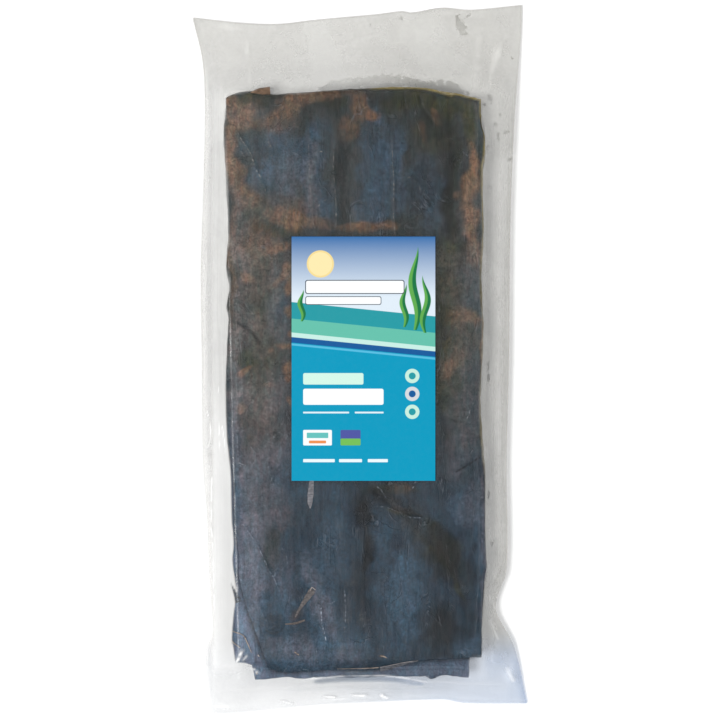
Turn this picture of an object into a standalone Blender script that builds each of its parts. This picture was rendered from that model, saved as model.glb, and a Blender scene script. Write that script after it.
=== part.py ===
"""A sealed clear bag of dried kelp sheets, lying on its back, with a paper label on its front.

+Z points up from the table, +Y to the bag's top seal and +X to the right of someone reading
the label. The origin lies on the table under the middle of the bag's outline. All lengths are
in metres. The bag is solid here: film, air and kelp together, out to the film's outer face.
"""

import math

import bmesh
import bpy

# Driving sizes of the bag
BAG_WIDTH = 0.2338
BAG_LENGTH = 0.4972
FILM_EDGE = 0.0008  # the two films where they meet round the outline
SEAL_HEIGHT = 0.0026  # of the sealed ends above the table
SEAL_WAVE = 0.0012
SEAL_WAVE_LENGTH = 0.085
CREASE_HEIGHT = 0.0100  # of the side creases above the table, halfway along
CREASE_RISE = 0.085  # how far from an end a side crease is at full height

# The kelp block inside
BLOCK_HEIGHT = 0.0292
BLOCK_CROWN = 0.0010
BLOCK_TOP = 0.1865  # where its folded end stops
BLOCK_BOTTOM = -0.2090  # where its upper sheets stop; the lower ones reach further
BLOCK_RIGHT = 0.0860
BLOCK_LEFT_TOP = -0.0948
BLOCK_LEFT_BOTTOM = -0.0850
UNDERSIDE_SHARE = 0.86  # share of a side margin that the film needs to come up off the table
SHOULDER_STEEP = 1.10
SHOULDER_SOFT = 0.22

# Outline, as (place along the edge, how far the edge lies inside the bag's box)
LEFT_INSETS = (
    (-0.2486, 0.0111), (-0.2305, 0.0111), (-0.2036, 0.0089), (-0.1910, 0.0138),
    (-0.1550, 0.0116), (-0.1080, 0.0098), (-0.0690, 0.0070), (0.0000, 0.0063),
    (0.0630, 0.0056), (0.1260, 0.0075), (0.1750, 0.0084), (0.2105, 0.0067),
    (0.2399, 0.0000),
)
RIGHT_INSETS = (
    (-0.2403, 0.0000), (-0.1997, 0.0092), (-0.1738, 0.0218), (-0.1458, 0.0143),
    (-0.0723, 0.0143), (0.0000, 0.0126), (0.0810, 0.0119), (0.1260, 0.0107),
    (0.1800, 0.0080), (0.2287, 0.0038), (0.2486, 0.0035),
)
TOP_INSETS = (
    (-0.1169, 0.0087), (-0.0830, 0.0126), (-0.0580, 0.0133), (-0.0320, 0.0103),
    (0.0110, 0.0066), (0.0290, 0.0043), (0.0360, 0.0052), (0.0570, 0.0018),
    (0.0770, 0.0034), (0.1134, 0.0000),
)
BOTTOM_INSETS = (
    (-0.1058, 0.0000), (-0.0920, 0.0006), (-0.0500, 0.0050), (-0.0250, 0.0072),
    (0.0570, 0.0109), (0.0730, 0.0085), (0.1169, 0.0081),
)
MEAN_END_INSET = 0.0070

# How the upper film climbs from a sealed end (0) to the end of the block (1)
TOP_CLIMB = (
    (0.00, 0.00), (0.14, 0.01), (0.40, 0.09), (0.65, 0.32), (0.86, 0.76), (0.96, 0.97),
    (1.00, 1.00),
)
BOTTOM_CLIMB = (
    (0.00, 0.00), (0.18, 0.01), (0.34, 0.32), (0.48, 0.74), (0.60, 0.855), (0.80, 0.885),
    (0.93, 0.975), (1.00, 1.00),
)

# Swells of the sheets under the film: (height, waves across, waves along, turn)
SWELLS = (
    (0.00045, 1.5, 0.5, 0.4),
    (0.00035, 2.5, -1.5, 2.1),
    (0.00025, 4.0, 1.5, 4.4),
    (0.00020, -1.5, 5.5, 1.2),
)

# Label
LABEL_WIDTH = 0.1001
LABEL_LENGTH = 0.1701
LABEL_MIDDLE = (0.0024, 0.0009)
LABEL_THICKNESS = 0.0003
LABEL_GAP = 0.0004  # between label and film
SWELL_UNDER_LABEL = 0.35
LABEL_CALM = 0.035  # how far outside the label the swells are back to full height

# Mesh
MARGIN_COLUMNS = 5
BLOCK_COLUMNS = 20
TOP_ROWS = 9
BLOCK_ROWS = 36
BOTTOM_ROWS = 9
LABEL_COLUMNS = 10
LABEL_ROWS = 17

FILM_COLOUR = (0.055, 0.065, 0.070, 1.0)
LABEL_COLOUR = (0.010, 0.345, 0.550, 1.0)


def mix(low, high, share):
    return low + (high - low) * share


def smooth(share):
    """0 to 1 with no kink at either end."""
    held = max(0.0, min(1.0, share))
    return held * held * (3 - 2 * held)


def soft_min(first, second, reach):
    """The smaller of two values, rounded where they cross."""
    overlap = max(reach - abs(first - second), 0.0) / reach
    return min(first, second) - overlap * overlap * reach / 4


def follow(pairs, place):
    """A smooth curve through (place, value) pairs, held level beyond its ends."""
    if place <= pairs[0][0]:
        return pairs[0][1]
    if place >= pairs[-1][0]:
        return pairs[-1][1]
    after = next(i for i, pair in enumerate(pairs) if pair[0] > place)
    before = after - 1
    span = pairs[after][0] - pairs[before][0]
    share = (place - pairs[before][0]) / span

    def slope(i):
        """Of the curve at pair i, from its neighbours."""
        first = pairs[max(i - 1, 0)]
        last = pairs[min(i + 1, len(pairs) - 1)]
        return (last[1] - first[1]) / (last[0] - first[0])

    start = pairs[before][1]
    end = pairs[after][1]
    bend_in = slope(before) * span
    bend_out = slope(after) * span
    return (
        start
        + share * bend_in
        + share**2 * (3 * (end - start) - 2 * bend_in - bend_out)
        + share**3 * (2 * (start - end) + bend_in + bend_out)
    )


def zone(count, sizes):
    """Which of the zones that are sizes cells long holds cell edge count, and how far along it."""
    for index, size in enumerate(sizes):
        if count <= size or index == len(sizes) - 1:
            return index, count / size
        count -= size


def left_edge(y):
    return -BAG_WIDTH / 2 + follow(LEFT_INSETS, y)


def right_edge(y):
    return BAG_WIDTH / 2 - follow(RIGHT_INSETS, y)


def top_edge(x):
    return BAG_LENGTH / 2 - follow(TOP_INSETS, x)


def bottom_edge(x):
    return -BAG_LENGTH / 2 + follow(BOTTOM_INSETS, x)


def block_left(y):
    share = (y - BLOCK_BOTTOM) / (BLOCK_TOP - BLOCK_BOTTOM)
    return mix(BLOCK_LEFT_BOTTOM, BLOCK_LEFT_TOP, max(0.0, min(1.0, share)))


def stops_across(y):
    """Left crease, both sides of the block, and right crease."""
    return left_edge(y), block_left(y), BLOCK_RIGHT, right_edge(y)


def stops_along(x):
    """Bottom seal, both ends of the block, and top seal."""
    return bottom_edge(x), BLOCK_BOTTOM, BLOCK_TOP, top_edge(x)


def edge_height(x, y):
    """Height of the bag's outline above the table: low at the seals, higher at the side creases."""
    to_end = BAG_LENGTH / 2 - MEAN_END_INSET - abs(y)
    seal = SEAL_HEIGHT + SEAL_WAVE * math.sin(2 * math.pi * x / SEAL_WAVE_LENGTH + 1.0)
    return mix(seal, CREASE_HEIGHT, smooth(to_end / CREASE_RISE))


def swell(x, y):
    """Low swells of the kelp sheets, calmer where the label lies flat on them."""
    height = 0.0
    for size, across, along, turn in SWELLS:
        waves = across * x / BAG_WIDTH + along * y / BAG_LENGTH
        height += size * math.sin(2 * math.pi * waves + turn)
    off_label = max(
        abs(x - LABEL_MIDDLE[0]) - LABEL_WIDTH / 2,
        abs(y - LABEL_MIDDLE[1]) - LABEL_LENGTH / 2,
    )
    return height * mix(SWELL_UNDER_LABEL, 1.0, smooth(off_label / LABEL_CALM))


def block_height(x, y):
    """Outer face of the film where it lies on the block."""
    across = (x - block_left(y)) / (BLOCK_RIGHT - block_left(y))
    crown = BLOCK_CROWN * (1 - (2 * max(0.0, min(1.0, across)) - 1) ** 2)
    return BLOCK_HEIGHT + crown + swell(x, y)


def place_of(column, row):
    """(x, y, climb, settle) of a grid corner. Climb is how far the upper film has risen there from
    the outline to the block, and settle how far the lower film has come down to the table."""
    side, share_across = zone(column, (MARGIN_COLUMNS, BLOCK_COLUMNS, MARGIN_COLUMNS))
    end, share_along = zone(row, (BOTTOM_ROWS, BLOCK_ROWS, TOP_ROWS))
    mean_stops = (MEAN_END_INSET - BAG_LENGTH / 2, *stops_along(0)[1:3],
                  BAG_LENGTH / 2 - MEAN_END_INSET)
    y = mix(mean_stops[end], mean_stops[end + 1], share_along)
    stops = stops_across(y)
    x = mix(stops[side], stops[side + 1], share_across)
    stops = stops_along(x)
    y = mix(stops[end], stops[end + 1], share_along)

    in_margin = (share_across, 1.0, 1 - share_across)[side]
    in_end = (share_along, 1.0, 1 - share_along)[end]
    climb_across = soft_min(SHOULDER_STEEP * in_margin, 1.0, SHOULDER_SOFT)
    climb_along = follow((BOTTOM_CLIMB, TOP_CLIMB, TOP_CLIMB)[end], in_end)
    settle = smooth(in_margin / UNDERSIDE_SHARE) * smooth(in_end)
    return x, y, max(0.0, climb_across) * climb_along, settle


def upper_film(column, row):
    x, y, climb, _ = place_of(column, row)
    low = edge_height(x, y) + FILM_EDGE / 2
    return x, y, mix(low, block_height(x, y), climb)


def lower_film(column, row):
    x, y, _, settle = place_of(column, row)
    return x, y, mix(edge_height(x, y) - FILM_EDGE / 2, 0.0, settle)


def material(name, colour, roughness):
    made = bpy.data.materials.new(name)
    made.use_nodes = True
    shader = made.node_tree.nodes["Principled BSDF"]
    shader.inputs["Base Color"].default_value = colour
    shader.inputs["Roughness"].default_value = roughness
    return made


def finished(bm, name, finish):
    """The mesh as a named, smooth-shaded object."""
    bmesh.ops.recalc_face_normals(bm, faces=bm.faces)
    mesh = bpy.data.meshes.new(name)
    bm.to_mesh(mesh)
    bm.free()
    mesh.materials.append(finish)
    mesh.shade_smooth()
    mesh.set_sharp_from_angle(angle=math.radians(50))
    made = bpy.data.objects.new(name, mesh)
    bpy.context.scene.collection.objects.link(made)
    return made


def grid_of(bm, columns, rows, place):
    """A grid of columns by rows cells whose corners lie where place says, and its border edges."""
    half = 0.5
    made = bmesh.ops.create_grid(bm, x_segments=columns, y_segments=rows, size=half)["verts"]
    border = {e for v in made for e in v.link_edges if e.is_boundary}
    for vert in made:
        column = round((vert.co.x + half) * columns)
        row = round((vert.co.y + half) * rows)
        vert.co = place(column, row)
    return made, border


def make_bag():
    """Upper and lower film over the block, joined round the outline."""
    columns = 2 * MARGIN_COLUMNS + BLOCK_COLUMNS
    rows = BOTTOM_ROWS + BLOCK_ROWS + TOP_ROWS
    bm = bmesh.new()
    _, upper_border = grid_of(bm, columns, rows, upper_film)
    lower, lower_border = grid_of(bm, columns, rows, lower_film)
    bmesh.ops.bridge_loops(bm, edges=list(upper_border | lower_border))
    rest = [f for v in lower for f in v.link_faces if all(c.co.z == 0 for c in f.verts)]
    bmesh.ops.dissolve_faces(bm, faces=list(set(rest)))
    return finished(bm, "bag", material("clear film over kelp", FILM_COLOUR, 0.22))


def label_corner(column, row):
    """A corner of the label's lower face, just clear of the film under it."""
    x = LABEL_MIDDLE[0] + LABEL_WIDTH * (column / LABEL_COLUMNS - 0.5)
    y = LABEL_MIDDLE[1] + LABEL_LENGTH * (row / LABEL_ROWS - 0.5)
    return x, y, block_height(x, y) + LABEL_GAP


def make_label():
    bm = bmesh.new()
    grid_of(bm, LABEL_COLUMNS, LABEL_ROWS, label_corner)
    made = finished(bm, "label", material("printed label", LABEL_COLOUR, 0.45))
    paper = made.modifiers.new("paper", "SOLIDIFY")
    paper.thickness = LABEL_THICKNESS
    paper.offset = 1.0
    return made


def main():
    for thing in list(bpy.data.objects):
        bpy.data.objects.remove(thing)
    make_bag()
    make_label()


main()
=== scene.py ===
# Looks of a sealed clear bag of dried kelp sheets with a printed label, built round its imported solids.
import math
import bmesh
import bpy
import numpy as np
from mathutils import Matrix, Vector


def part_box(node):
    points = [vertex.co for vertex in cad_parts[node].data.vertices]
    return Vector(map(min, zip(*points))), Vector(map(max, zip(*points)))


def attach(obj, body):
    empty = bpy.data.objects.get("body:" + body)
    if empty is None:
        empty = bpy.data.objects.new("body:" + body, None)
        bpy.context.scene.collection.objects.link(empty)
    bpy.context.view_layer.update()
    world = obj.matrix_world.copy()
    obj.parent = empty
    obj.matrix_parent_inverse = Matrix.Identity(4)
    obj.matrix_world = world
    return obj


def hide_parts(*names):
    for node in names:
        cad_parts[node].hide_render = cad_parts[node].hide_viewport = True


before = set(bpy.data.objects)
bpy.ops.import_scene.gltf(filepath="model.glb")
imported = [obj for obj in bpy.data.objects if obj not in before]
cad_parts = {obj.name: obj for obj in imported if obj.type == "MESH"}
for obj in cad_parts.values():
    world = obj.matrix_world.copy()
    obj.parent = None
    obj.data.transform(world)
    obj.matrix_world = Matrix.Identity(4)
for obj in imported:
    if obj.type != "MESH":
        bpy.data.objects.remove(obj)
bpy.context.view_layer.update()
bagLow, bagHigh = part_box("bag")
labelLow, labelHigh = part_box("label")
mm = 0.001

# The bag's form, as its solid has it. Insets are (place along an edge, how far the edge lies inside the box).
bag = {
    "width": bagHigh.x - bagLow.x,
    "length": bagHigh.y - bagLow.y,
    "sealHeight": 0.0026,
    "sealWave": 0.0012,
    "sealWaveLength": 0.085,
    "creaseHeight": 0.0100,
    "creaseRise": 0.085,
    "blockHeight": 0.0292,
    "blockCrown": 0.0010,
    "blockTop": 0.1865,
    "blockBottom": -0.2090,
    "blockRight": 0.0860,
    "blockLeftTop": -0.0948,
    "blockLeftBottom": -0.0850,
    "undersideShare": 0.86,
    "shoulderSteep": 1.10,
    "shoulderSoft": 0.22,
    "endInset": 0.0070,
    "leftInsets": (
        (-0.2486, 0.0111), (-0.2305, 0.0111), (-0.2036, 0.0089), (-0.1910, 0.0138),
        (-0.1550, 0.0116), (-0.1080, 0.0098), (-0.0690, 0.0070), (0.0000, 0.0063),
        (0.0630, 0.0056), (0.1260, 0.0075), (0.1750, 0.0084), (0.2105, 0.0067),
        (0.2399, 0.0000),
    ),
    "rightInsets": (
        (-0.2403, 0.0000), (-0.1997, 0.0092), (-0.1738, 0.0218), (-0.1458, 0.0143),
        (-0.0723, 0.0143), (0.0000, 0.0126), (0.0810, 0.0119), (0.1260, 0.0107),
        (0.1800, 0.0080), (0.2287, 0.0038), (0.2486, 0.0035),
    ),
    "topInsets": (
        (-0.1169, 0.0087), (-0.0830, 0.0126), (-0.0580, 0.0133), (-0.0320, 0.0103),
        (0.0110, 0.0066), (0.0290, 0.0043), (0.0360, 0.0052), (0.0570, 0.0018),
        (0.0770, 0.0034), (0.1134, 0.0000),
    ),
    "bottomInsets": (
        (-0.1058, 0.0000), (-0.0920, 0.0006), (-0.0500, 0.0050), (-0.0250, 0.0072),
        (0.0570, 0.0109), (0.0730, 0.0085), (0.1169, 0.0081),
    ),
    "topClimb": (
        (0.00, 0.00), (0.14, 0.01), (0.40, 0.09), (0.65, 0.32), (0.86, 0.76), (0.96, 0.97),
        (1.00, 1.00),
    ),
    "bottomClimb": (
        (0.00, 0.00), (0.18, 0.01), (0.34, 0.32), (0.48, 0.74), (0.60, 0.855), (0.80, 0.885),
        (0.93, 0.975), (1.00, 1.00),
    ),
    "swells": (
        (0.00045, 1.5, 0.5, 0.4), (0.00035, 2.5, -1.5, 2.1), (0.00025, 4.0, 1.5, 4.4),
        (0.00020, -1.5, 5.5, 1.2),
    ),
    "swellUnderLabel": 0.35,
    "labelCalm": 0.035,
}


def mixed(low, high, share):
    return low + (high - low) * share


def smooth(share):
    held = np.clip(share, 0, 1)
    return held * held * (3 - 2 * held)


def softMin(first, second, reach):
    overlap = np.maximum(reach - np.abs(first - second), 0) / reach
    return np.minimum(first, second) - overlap**2 * reach / 4


def follow(pairs, place):
    # a smooth curve through (place, value) pairs, level beyond its ends
    at, value = np.array(pairs).T
    before = np.r_[0, np.arange(len(at) - 1)]
    after = np.r_[np.arange(1, len(at)), len(at) - 1]
    slope = (value[after] - value[before]) / (at[after] - at[before])
    place = np.clip(place, at[0], at[-1])
    end = np.clip(np.searchsorted(at, place, side="right"), 1, len(at) - 1)
    start = end - 1
    span = at[end] - at[start]
    share = (place - at[start]) / span
    bendIn, bendOut = slope[start] * span, slope[end] * span
    rise = value[end] - value[start]
    return (value[start] + share * bendIn + share**2 * (3 * rise - 2 * bendIn - bendOut)
            + share**3 * (bendIn + bendOut - 2 * rise))


def leftEdge(y):
    return -bag["width"] / 2 + follow(bag["leftInsets"], y)


def rightEdge(y):
    return bag["width"] / 2 - follow(bag["rightInsets"], y)


def topEdge(x):
    return bag["length"] / 2 - follow(bag["topInsets"], x)


def bottomEdge(x):
    return -bag["length"] / 2 + follow(bag["bottomInsets"], x)


def blockLeft(y):
    share = (y - bag["blockBottom"]) / (bag["blockTop"] - bag["blockBottom"])
    return mixed(bag["blockLeftBottom"], bag["blockLeftTop"], np.clip(share, 0, 1))


def edgeHeight(x, y):
    toEnd = bag["length"] / 2 - bag["endInset"] - np.abs(y)
    wave = np.sin(2 * np.pi * x / bag["sealWaveLength"] + 1.0)
    return mixed(bag["sealHeight"] + bag["sealWave"] * wave, bag["creaseHeight"],
                 smooth(toEnd / bag["creaseRise"]))


def offLabel(x, y):
    # how far outside the label a point lies
    middle = (labelLow + labelHigh) / 2
    half = (labelHigh - labelLow) / 2
    return np.maximum(np.abs(x - middle.x) - half.x, np.abs(y - middle.y) - half.y)


def blockHeight(x, y):
    across = (x - blockLeft(y)) / (bag["blockRight"] - blockLeft(y))
    crown = bag["blockCrown"] * (1 - (2 * np.clip(across, 0, 1) - 1) ** 2)
    swell = sum(
        size * np.sin(2 * np.pi * (wide * x / bag["width"] + long * y / bag["length"]) + turn)
        for size, wide, long, turn in bag["swells"]
    )
    calm = mixed(bag["swellUnderLabel"], 1.0, smooth(offLabel(x, y) / bag["labelCalm"]))
    return bag["blockHeight"] + crown + swell * calm


def sharesIn(x, y):
    # how far a point has come in from the outline to the block: from a side, the bottom and the top
    left, right, low, high = leftEdge(y), rightEdge(y), bottomEdge(x), topEdge(x)
    fromLeft = (x - left) / (blockLeft(y) - left)
    fromRight = (right - x) / (right - bag["blockRight"])
    fromBottom = (y - low) / (bag["blockBottom"] - low)
    fromTop = (high - y) / (high - bag["blockTop"])
    return (np.clip(np.minimum(fromLeft, fromRight), 0, 1), np.clip(fromBottom, 0, 1),
            np.clip(fromTop, 0, 1))


def climbTo(x, y):
    # 0 at the bag's outline, 1 where the film lies on the block
    side, bottom, top = sharesIn(x, y)
    across = softMin(bag["shoulderSteep"] * side, 1.0, bag["shoulderSoft"])
    along = follow(bag["bottomClimb"], bottom) * follow(bag["topClimb"], top)
    return np.maximum(across, 0) * along


def bagTop(x, y):
    return mixed(edgeHeight(x, y), blockHeight(x, y), climbTo(x, y))


def bagUnder(x, y):
    side, bottom, top = sharesIn(x, y)
    settle = smooth(side / bag["undersideShare"]) * smooth(bottom) * smooth(top)
    return mixed(edgeHeight(x, y), 0.0, settle)


# Tools for shapes


def cloud(x, y, size, seed, octaves=3):
    # drifting noise from about -1 to 1, in lumps of the given size
    total = np.zeros(np.broadcast(x, y).shape)
    for octave in range(octaves):
        table = np.random.default_rng(1000 * seed + octave).uniform(-1, 1, (64, 64))
        u = x / size * 2**octave + 7.3 * octave + 500
        v = y / size * 2**octave + 3.1 * octave + 500
        i, j = np.floor(u).astype(int), np.floor(v).astype(int)
        f, g = smooth(u - i), smooth(v - j)
        i0, i1, j0, j1 = i % 64, (i + 1) % 64, j % 64, (j + 1) % 64
        low = mixed(table[i0, j0], table[i1, j0], f)
        high = mixed(table[i0, j1], table[i1, j1], f)
        total += mixed(low, high, g) * 0.5**octave
    return total


def alongPath(x, y, path):
    # distance to a path given in millimetres, its side (-1 right, 1 left) and the share along it
    points = np.array(path) * mm
    nearest = np.full(x.shape, 1.0)
    side = np.ones(x.shape)
    share = np.zeros(x.shape)
    for index, (start, end) in enumerate(zip(points, points[1:])):
        run = end - start
        along = ((x - start[0]) * run[0] + (y - start[1]) * run[1]) / (run @ run)
        held = np.clip(along, 0, 1)
        away = np.hypot(x - start[0] - held * run[0], y - start[1] - held * run[1])
        nearer = away < nearest
        turn = run[0] * (y - start[1]) - run[1] * (x - start[0])
        side = np.where(nearer, np.sign(turn), side)
        share = np.where(nearer, (index + held) / (len(points) - 1), share)
        nearest = np.where(nearer, away, nearest)
    return nearest, side, share


def blot(x, y, spot, seed):
    # a soft, ragged-edged oval: middle, half sizes, turn and strength
    cx, cy, rx, ry, turn, strength = spot
    turn = math.radians(turn)
    dx, dy = x / mm - cx, y / mm - cy
    u = (dx * math.cos(turn) + dy * math.sin(turn)) / rx
    v = (dy * math.cos(turn) - dx * math.sin(turn)) / ry
    ragged = 0.34 * cloud(x, y, 0.010, seed, 5)
    return strength * smooth((1.5 - np.hypot(u, v) + ragged) / 1.15)


def blots(x, y, spots, seed):
    bare = np.ones(x.shape)
    for spot in spots:
        bare *= 1 - blot(x, y, spot, seed)
    return 1 - bare


def meshOf(name, points, faces, material, attributes=None):
    mesh = bpy.data.meshes.new(name)
    mesh.from_pydata(points.tolist(), [], faces)
    for label, values in (attributes or {}).items():
        kind = "FLOAT_COLOR" if values.ndim == 2 else "FLOAT"
        field = "color" if values.ndim == 2 else "value"
        mesh.attributes.new(label, kind, "POINT").data.foreach_set(field, values.ravel())
    mesh.materials.append(material)
    made = bpy.data.objects.new(name, mesh)
    bpy.context.scene.collection.objects.link(made)
    return made


def finish(piece, angle=50):
    # faces outwards, smooth but for sharp edges
    bm = bmesh.new()
    bm.from_mesh(piece.data)
    bmesh.ops.recalc_face_normals(bm, faces=bm.faces)
    bm.to_mesh(piece.data)
    bm.free()
    piece.data.shade_smooth()
    piece.data.set_sharp_from_angle(angle=math.radians(angle))
    return piece


def joinRims(columns, rows, step, offset):
    # faces between the rims of a fine grid and of one with every step-th line, numbered from offset
    coarse = columns // step + 1
    fine = lambda c, r: r * (columns + 1) + c
    low = lambda c, r: offset + (r // step) * coarse + c // step
    faces = []
    for c in range(0, columns, step):
        faces.append([fine(c + k, 0) for k in range(step + 1)][::-1] + [low(c, 0), low(c + step, 0)])
        faces.append([fine(c + k, rows) for k in range(step + 1)] + [low(c + step, rows), low(c, rows)])
    for r in range(0, rows, step):
        faces.append([fine(0, r + k) for k in range(step + 1)] + [low(0, r + step), low(0, r)])
        faces.append([fine(columns, r + k) for k in range(step + 1)][::-1]
                     + [low(columns, r), low(columns, r + step)])
    return faces


def gridFaces(columns, rows, offset=0, flipped=False):
    wide = columns + 1
    faces = []
    for r in range(rows):
        for c in range(columns):
            a = offset + r * wide + c
            quad = [a, a + 1, a + wide + 1, a + wide]
            faces.append(quad[::-1] if flipped else quad)
    return faces


def slab(name, x, y, top, under, material, step=1, attributes=None):
    # a closed sheet between two surfaces over one grid, whose underside keeps every step-th line
    rows, columns = x.shape[0] - 1, x.shape[1] - 1
    thin = (slice(None, None, step), slice(None, None, step))
    upper = np.stack([x, y, top], -1).reshape(-1, 3)
    lower = np.stack([x[thin], y[thin], under[thin]], -1).reshape(-1, 3)
    faces = gridFaces(columns, rows)
    faces += gridFaces(columns // step, rows // step, len(upper), flipped=True)
    faces += joinRims(columns, rows, step, len(upper))
    both = {}
    for label, values in (attributes or {}).items():
        flat = values.reshape(rows + 1, columns + 1, -1)
        joined = np.concatenate([flat.reshape(-1, flat.shape[2]), flat[thin].reshape(-1, flat.shape[2])])
        both[label] = joined if flat.shape[2] > 1 else joined[:, 0]
    return finish(meshOf(name, np.concatenate([upper, lower]), faces, material, both))


# Tools for node trees


def addNode(tree, kind, inputs=None, **settings):
    node = tree.nodes.new(kind)
    for name, value in settings.items():
        setattr(node, name, value)
    for name, value in (inputs or {}).items():
        feed(tree, node.inputs[name], value)
    return node


def feed(tree, socket, value):
    if isinstance(value, bpy.types.NodeSocket):
        tree.links.new(value, socket)
    else:
        socket.default_value = value


def calc(tree, operation, *values, clamp=False):
    node = addNode(tree, "ShaderNodeMath", operation=operation, use_clamp=clamp)
    for socket, value in zip(node.inputs, values):
        feed(tree, socket, value)
    return node.outputs[0]


def tint(tree, share, first, second):
    node = addNode(tree, "ShaderNodeMix", data_type="RGBA")
    for index, value in ((0, share), (6, first), (7, second)):
        if isinstance(value, tuple):
            value = (*value, 1.0)
        feed(tree, node.inputs[index], value)
    return node.outputs[2]


def scaled(tree, colour, factor):
    return addNode(tree, "ShaderNodeVectorMath", {0: colour, "Scale": factor}, operation="SCALE").outputs[0]


def ranged(tree, value, low, high, toLow=0.0, toHigh=1.0):
    inputs = {"Value": value, "From Min": low, "From Max": high, "To Min": toLow, "To Max": toHigh}
    return addNode(tree, "ShaderNodeMapRange", inputs).outputs[0]


def noise(tree, vector, scale, detail=3.0, roughness=0.55, distortion=0.0):
    inputs = {"Vector": vector, "Scale": scale, "Detail": detail, "Roughness": roughness,
              "Distortion": distortion}
    return addNode(tree, "ShaderNodeTexNoise", inputs).outputs["Fac"]


def objectPlace(tree, scale=(1.0, 1.0, 1.0), location=(0.0, 0.0, 0.0), rotation=(0.0, 0.0, 0.0)):
    place = addNode(tree, "ShaderNodeTexCoord").outputs["Object"]
    inputs = {"Vector": place, "Scale": scale, "Location": location, "Rotation": rotation}
    return addNode(tree, "ShaderNodeMapping", inputs).outputs[0]


def shaderGroup(name, inputs, outputs):
    # a group with number inputs (name, default) or vector inputs (name, None), and number outputs
    group = bpy.data.node_groups.new(name, "ShaderNodeTree")
    for label, default in inputs:
        kind = "NodeSocketVector" if default is None else "NodeSocketFloat"
        socket = group.interface.new_socket(name=label, in_out="INPUT", socket_type=kind)
        if default is not None:
            socket.default_value = default
    for label in outputs:
        group.interface.new_socket(name=label, in_out="OUTPUT", socket_type="NodeSocketFloat")
    return group, group.nodes.new("NodeGroupInput").outputs, group.nodes.new("NodeGroupOutput").inputs


def useGroup(tree, group, inputs):
    node = addNode(tree, "ShaderNodeGroup", node_tree=group)
    for name, value in inputs.items():
        feed(tree, node.inputs[name], value)
    return node.outputs


def newMaterial(name):
    material = bpy.data.materials.new(name)
    material.use_nodes = True
    tree = material.node_tree
    return material, tree, tree.nodes["Principled BSDF"], tree.nodes["Material Output"]


# Lengthwise fibres, mottling and specks, which kelp and paper both have in their own measure
def grainGroup():
    group, ins, outs = shaderGroup(
        "fibreGrain", [("Place", None), ("Fibre Scale", 900.0), ("Mottle Scale", 120.0), ("Stretch", 0.12)],
        ["Fibre", "Mottle", "Speck", "Height"])
    parts = addNode(group, "ShaderNodeSeparateXYZ", {"Vector": ins["Place"]}).outputs
    drawn = addNode(group, "ShaderNodeCombineXYZ", {
        "X": parts["X"], "Y": calc(group, "MULTIPLY", parts["Y"], ins["Stretch"]), "Z": parts["Z"]}).outputs[0]
    fibre = noise(group, drawn, ins["Fibre Scale"], 4.0, 0.6, 0.4)
    mottle = noise(group, ins["Place"], ins["Mottle Scale"], 5.0, 0.62, 0.6)
    speckle = noise(group, ins["Place"], calc(group, "MULTIPLY", ins["Fibre Scale"], 1.3), 2.0)
    feed(group, outs["Fibre"], fibre)
    feed(group, outs["Mottle"], mottle)
    feed(group, outs["Speck"], ranged(group, speckle, 0.66, 0.74))
    height = calc(group, "ADD", calc(group, "MULTIPLY", fibre, 0.6), calc(group, "MULTIPLY", mottle, 0.4))
    feed(group, outs["Height"], height)
    return group


# Thin winding creases with a groove beside each, here and there, for the kelp; the kelp paints a highlight on each
# crest and shade in each groove
def wrinkleGroup():
    group, ins, outs = shaderGroup(
        "wrinkleLines", [("Place", None), ("Scale", 42.0), ("Spread", 33.0), ("Width", 0.012)], ["Crest", "Groove"])
    lie = calc(group, "SUBTRACT", noise(group, ins["Place"], ins["Scale"], 3.0, 0.5, 1.2), 0.5)
    sparse = ranged(group, noise(group, ins["Place"], ins["Spread"], 2.0), 0.50, 0.64)
    fleck = ranged(group, noise(group, ins["Place"], calc(group, "MULTIPLY", ins["Scale"], 8.0), 2.0), 0.35, 0.60)
    beside = calc(group, "SUBTRACT", lie, calc(group, "MULTIPLY", ins["Width"], 1.8))
    for label, middle, share in (("Crest", lie, calc(group, "MULTIPLY", sparse, fleck)), ("Groove", beside, sparse)):
        away = calc(group, "DIVIDE", calc(group, "ABSOLUTE", middle), ins["Width"])
        feed(group, outs[label], calc(group, "MULTIPLY", ranged(group, away, 1.0, 0.2), share))
    return group


fibreGrain = grainGroup()
wrinkleLines = wrinkleGroup()
print("tools ready")

# Kelp

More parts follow.
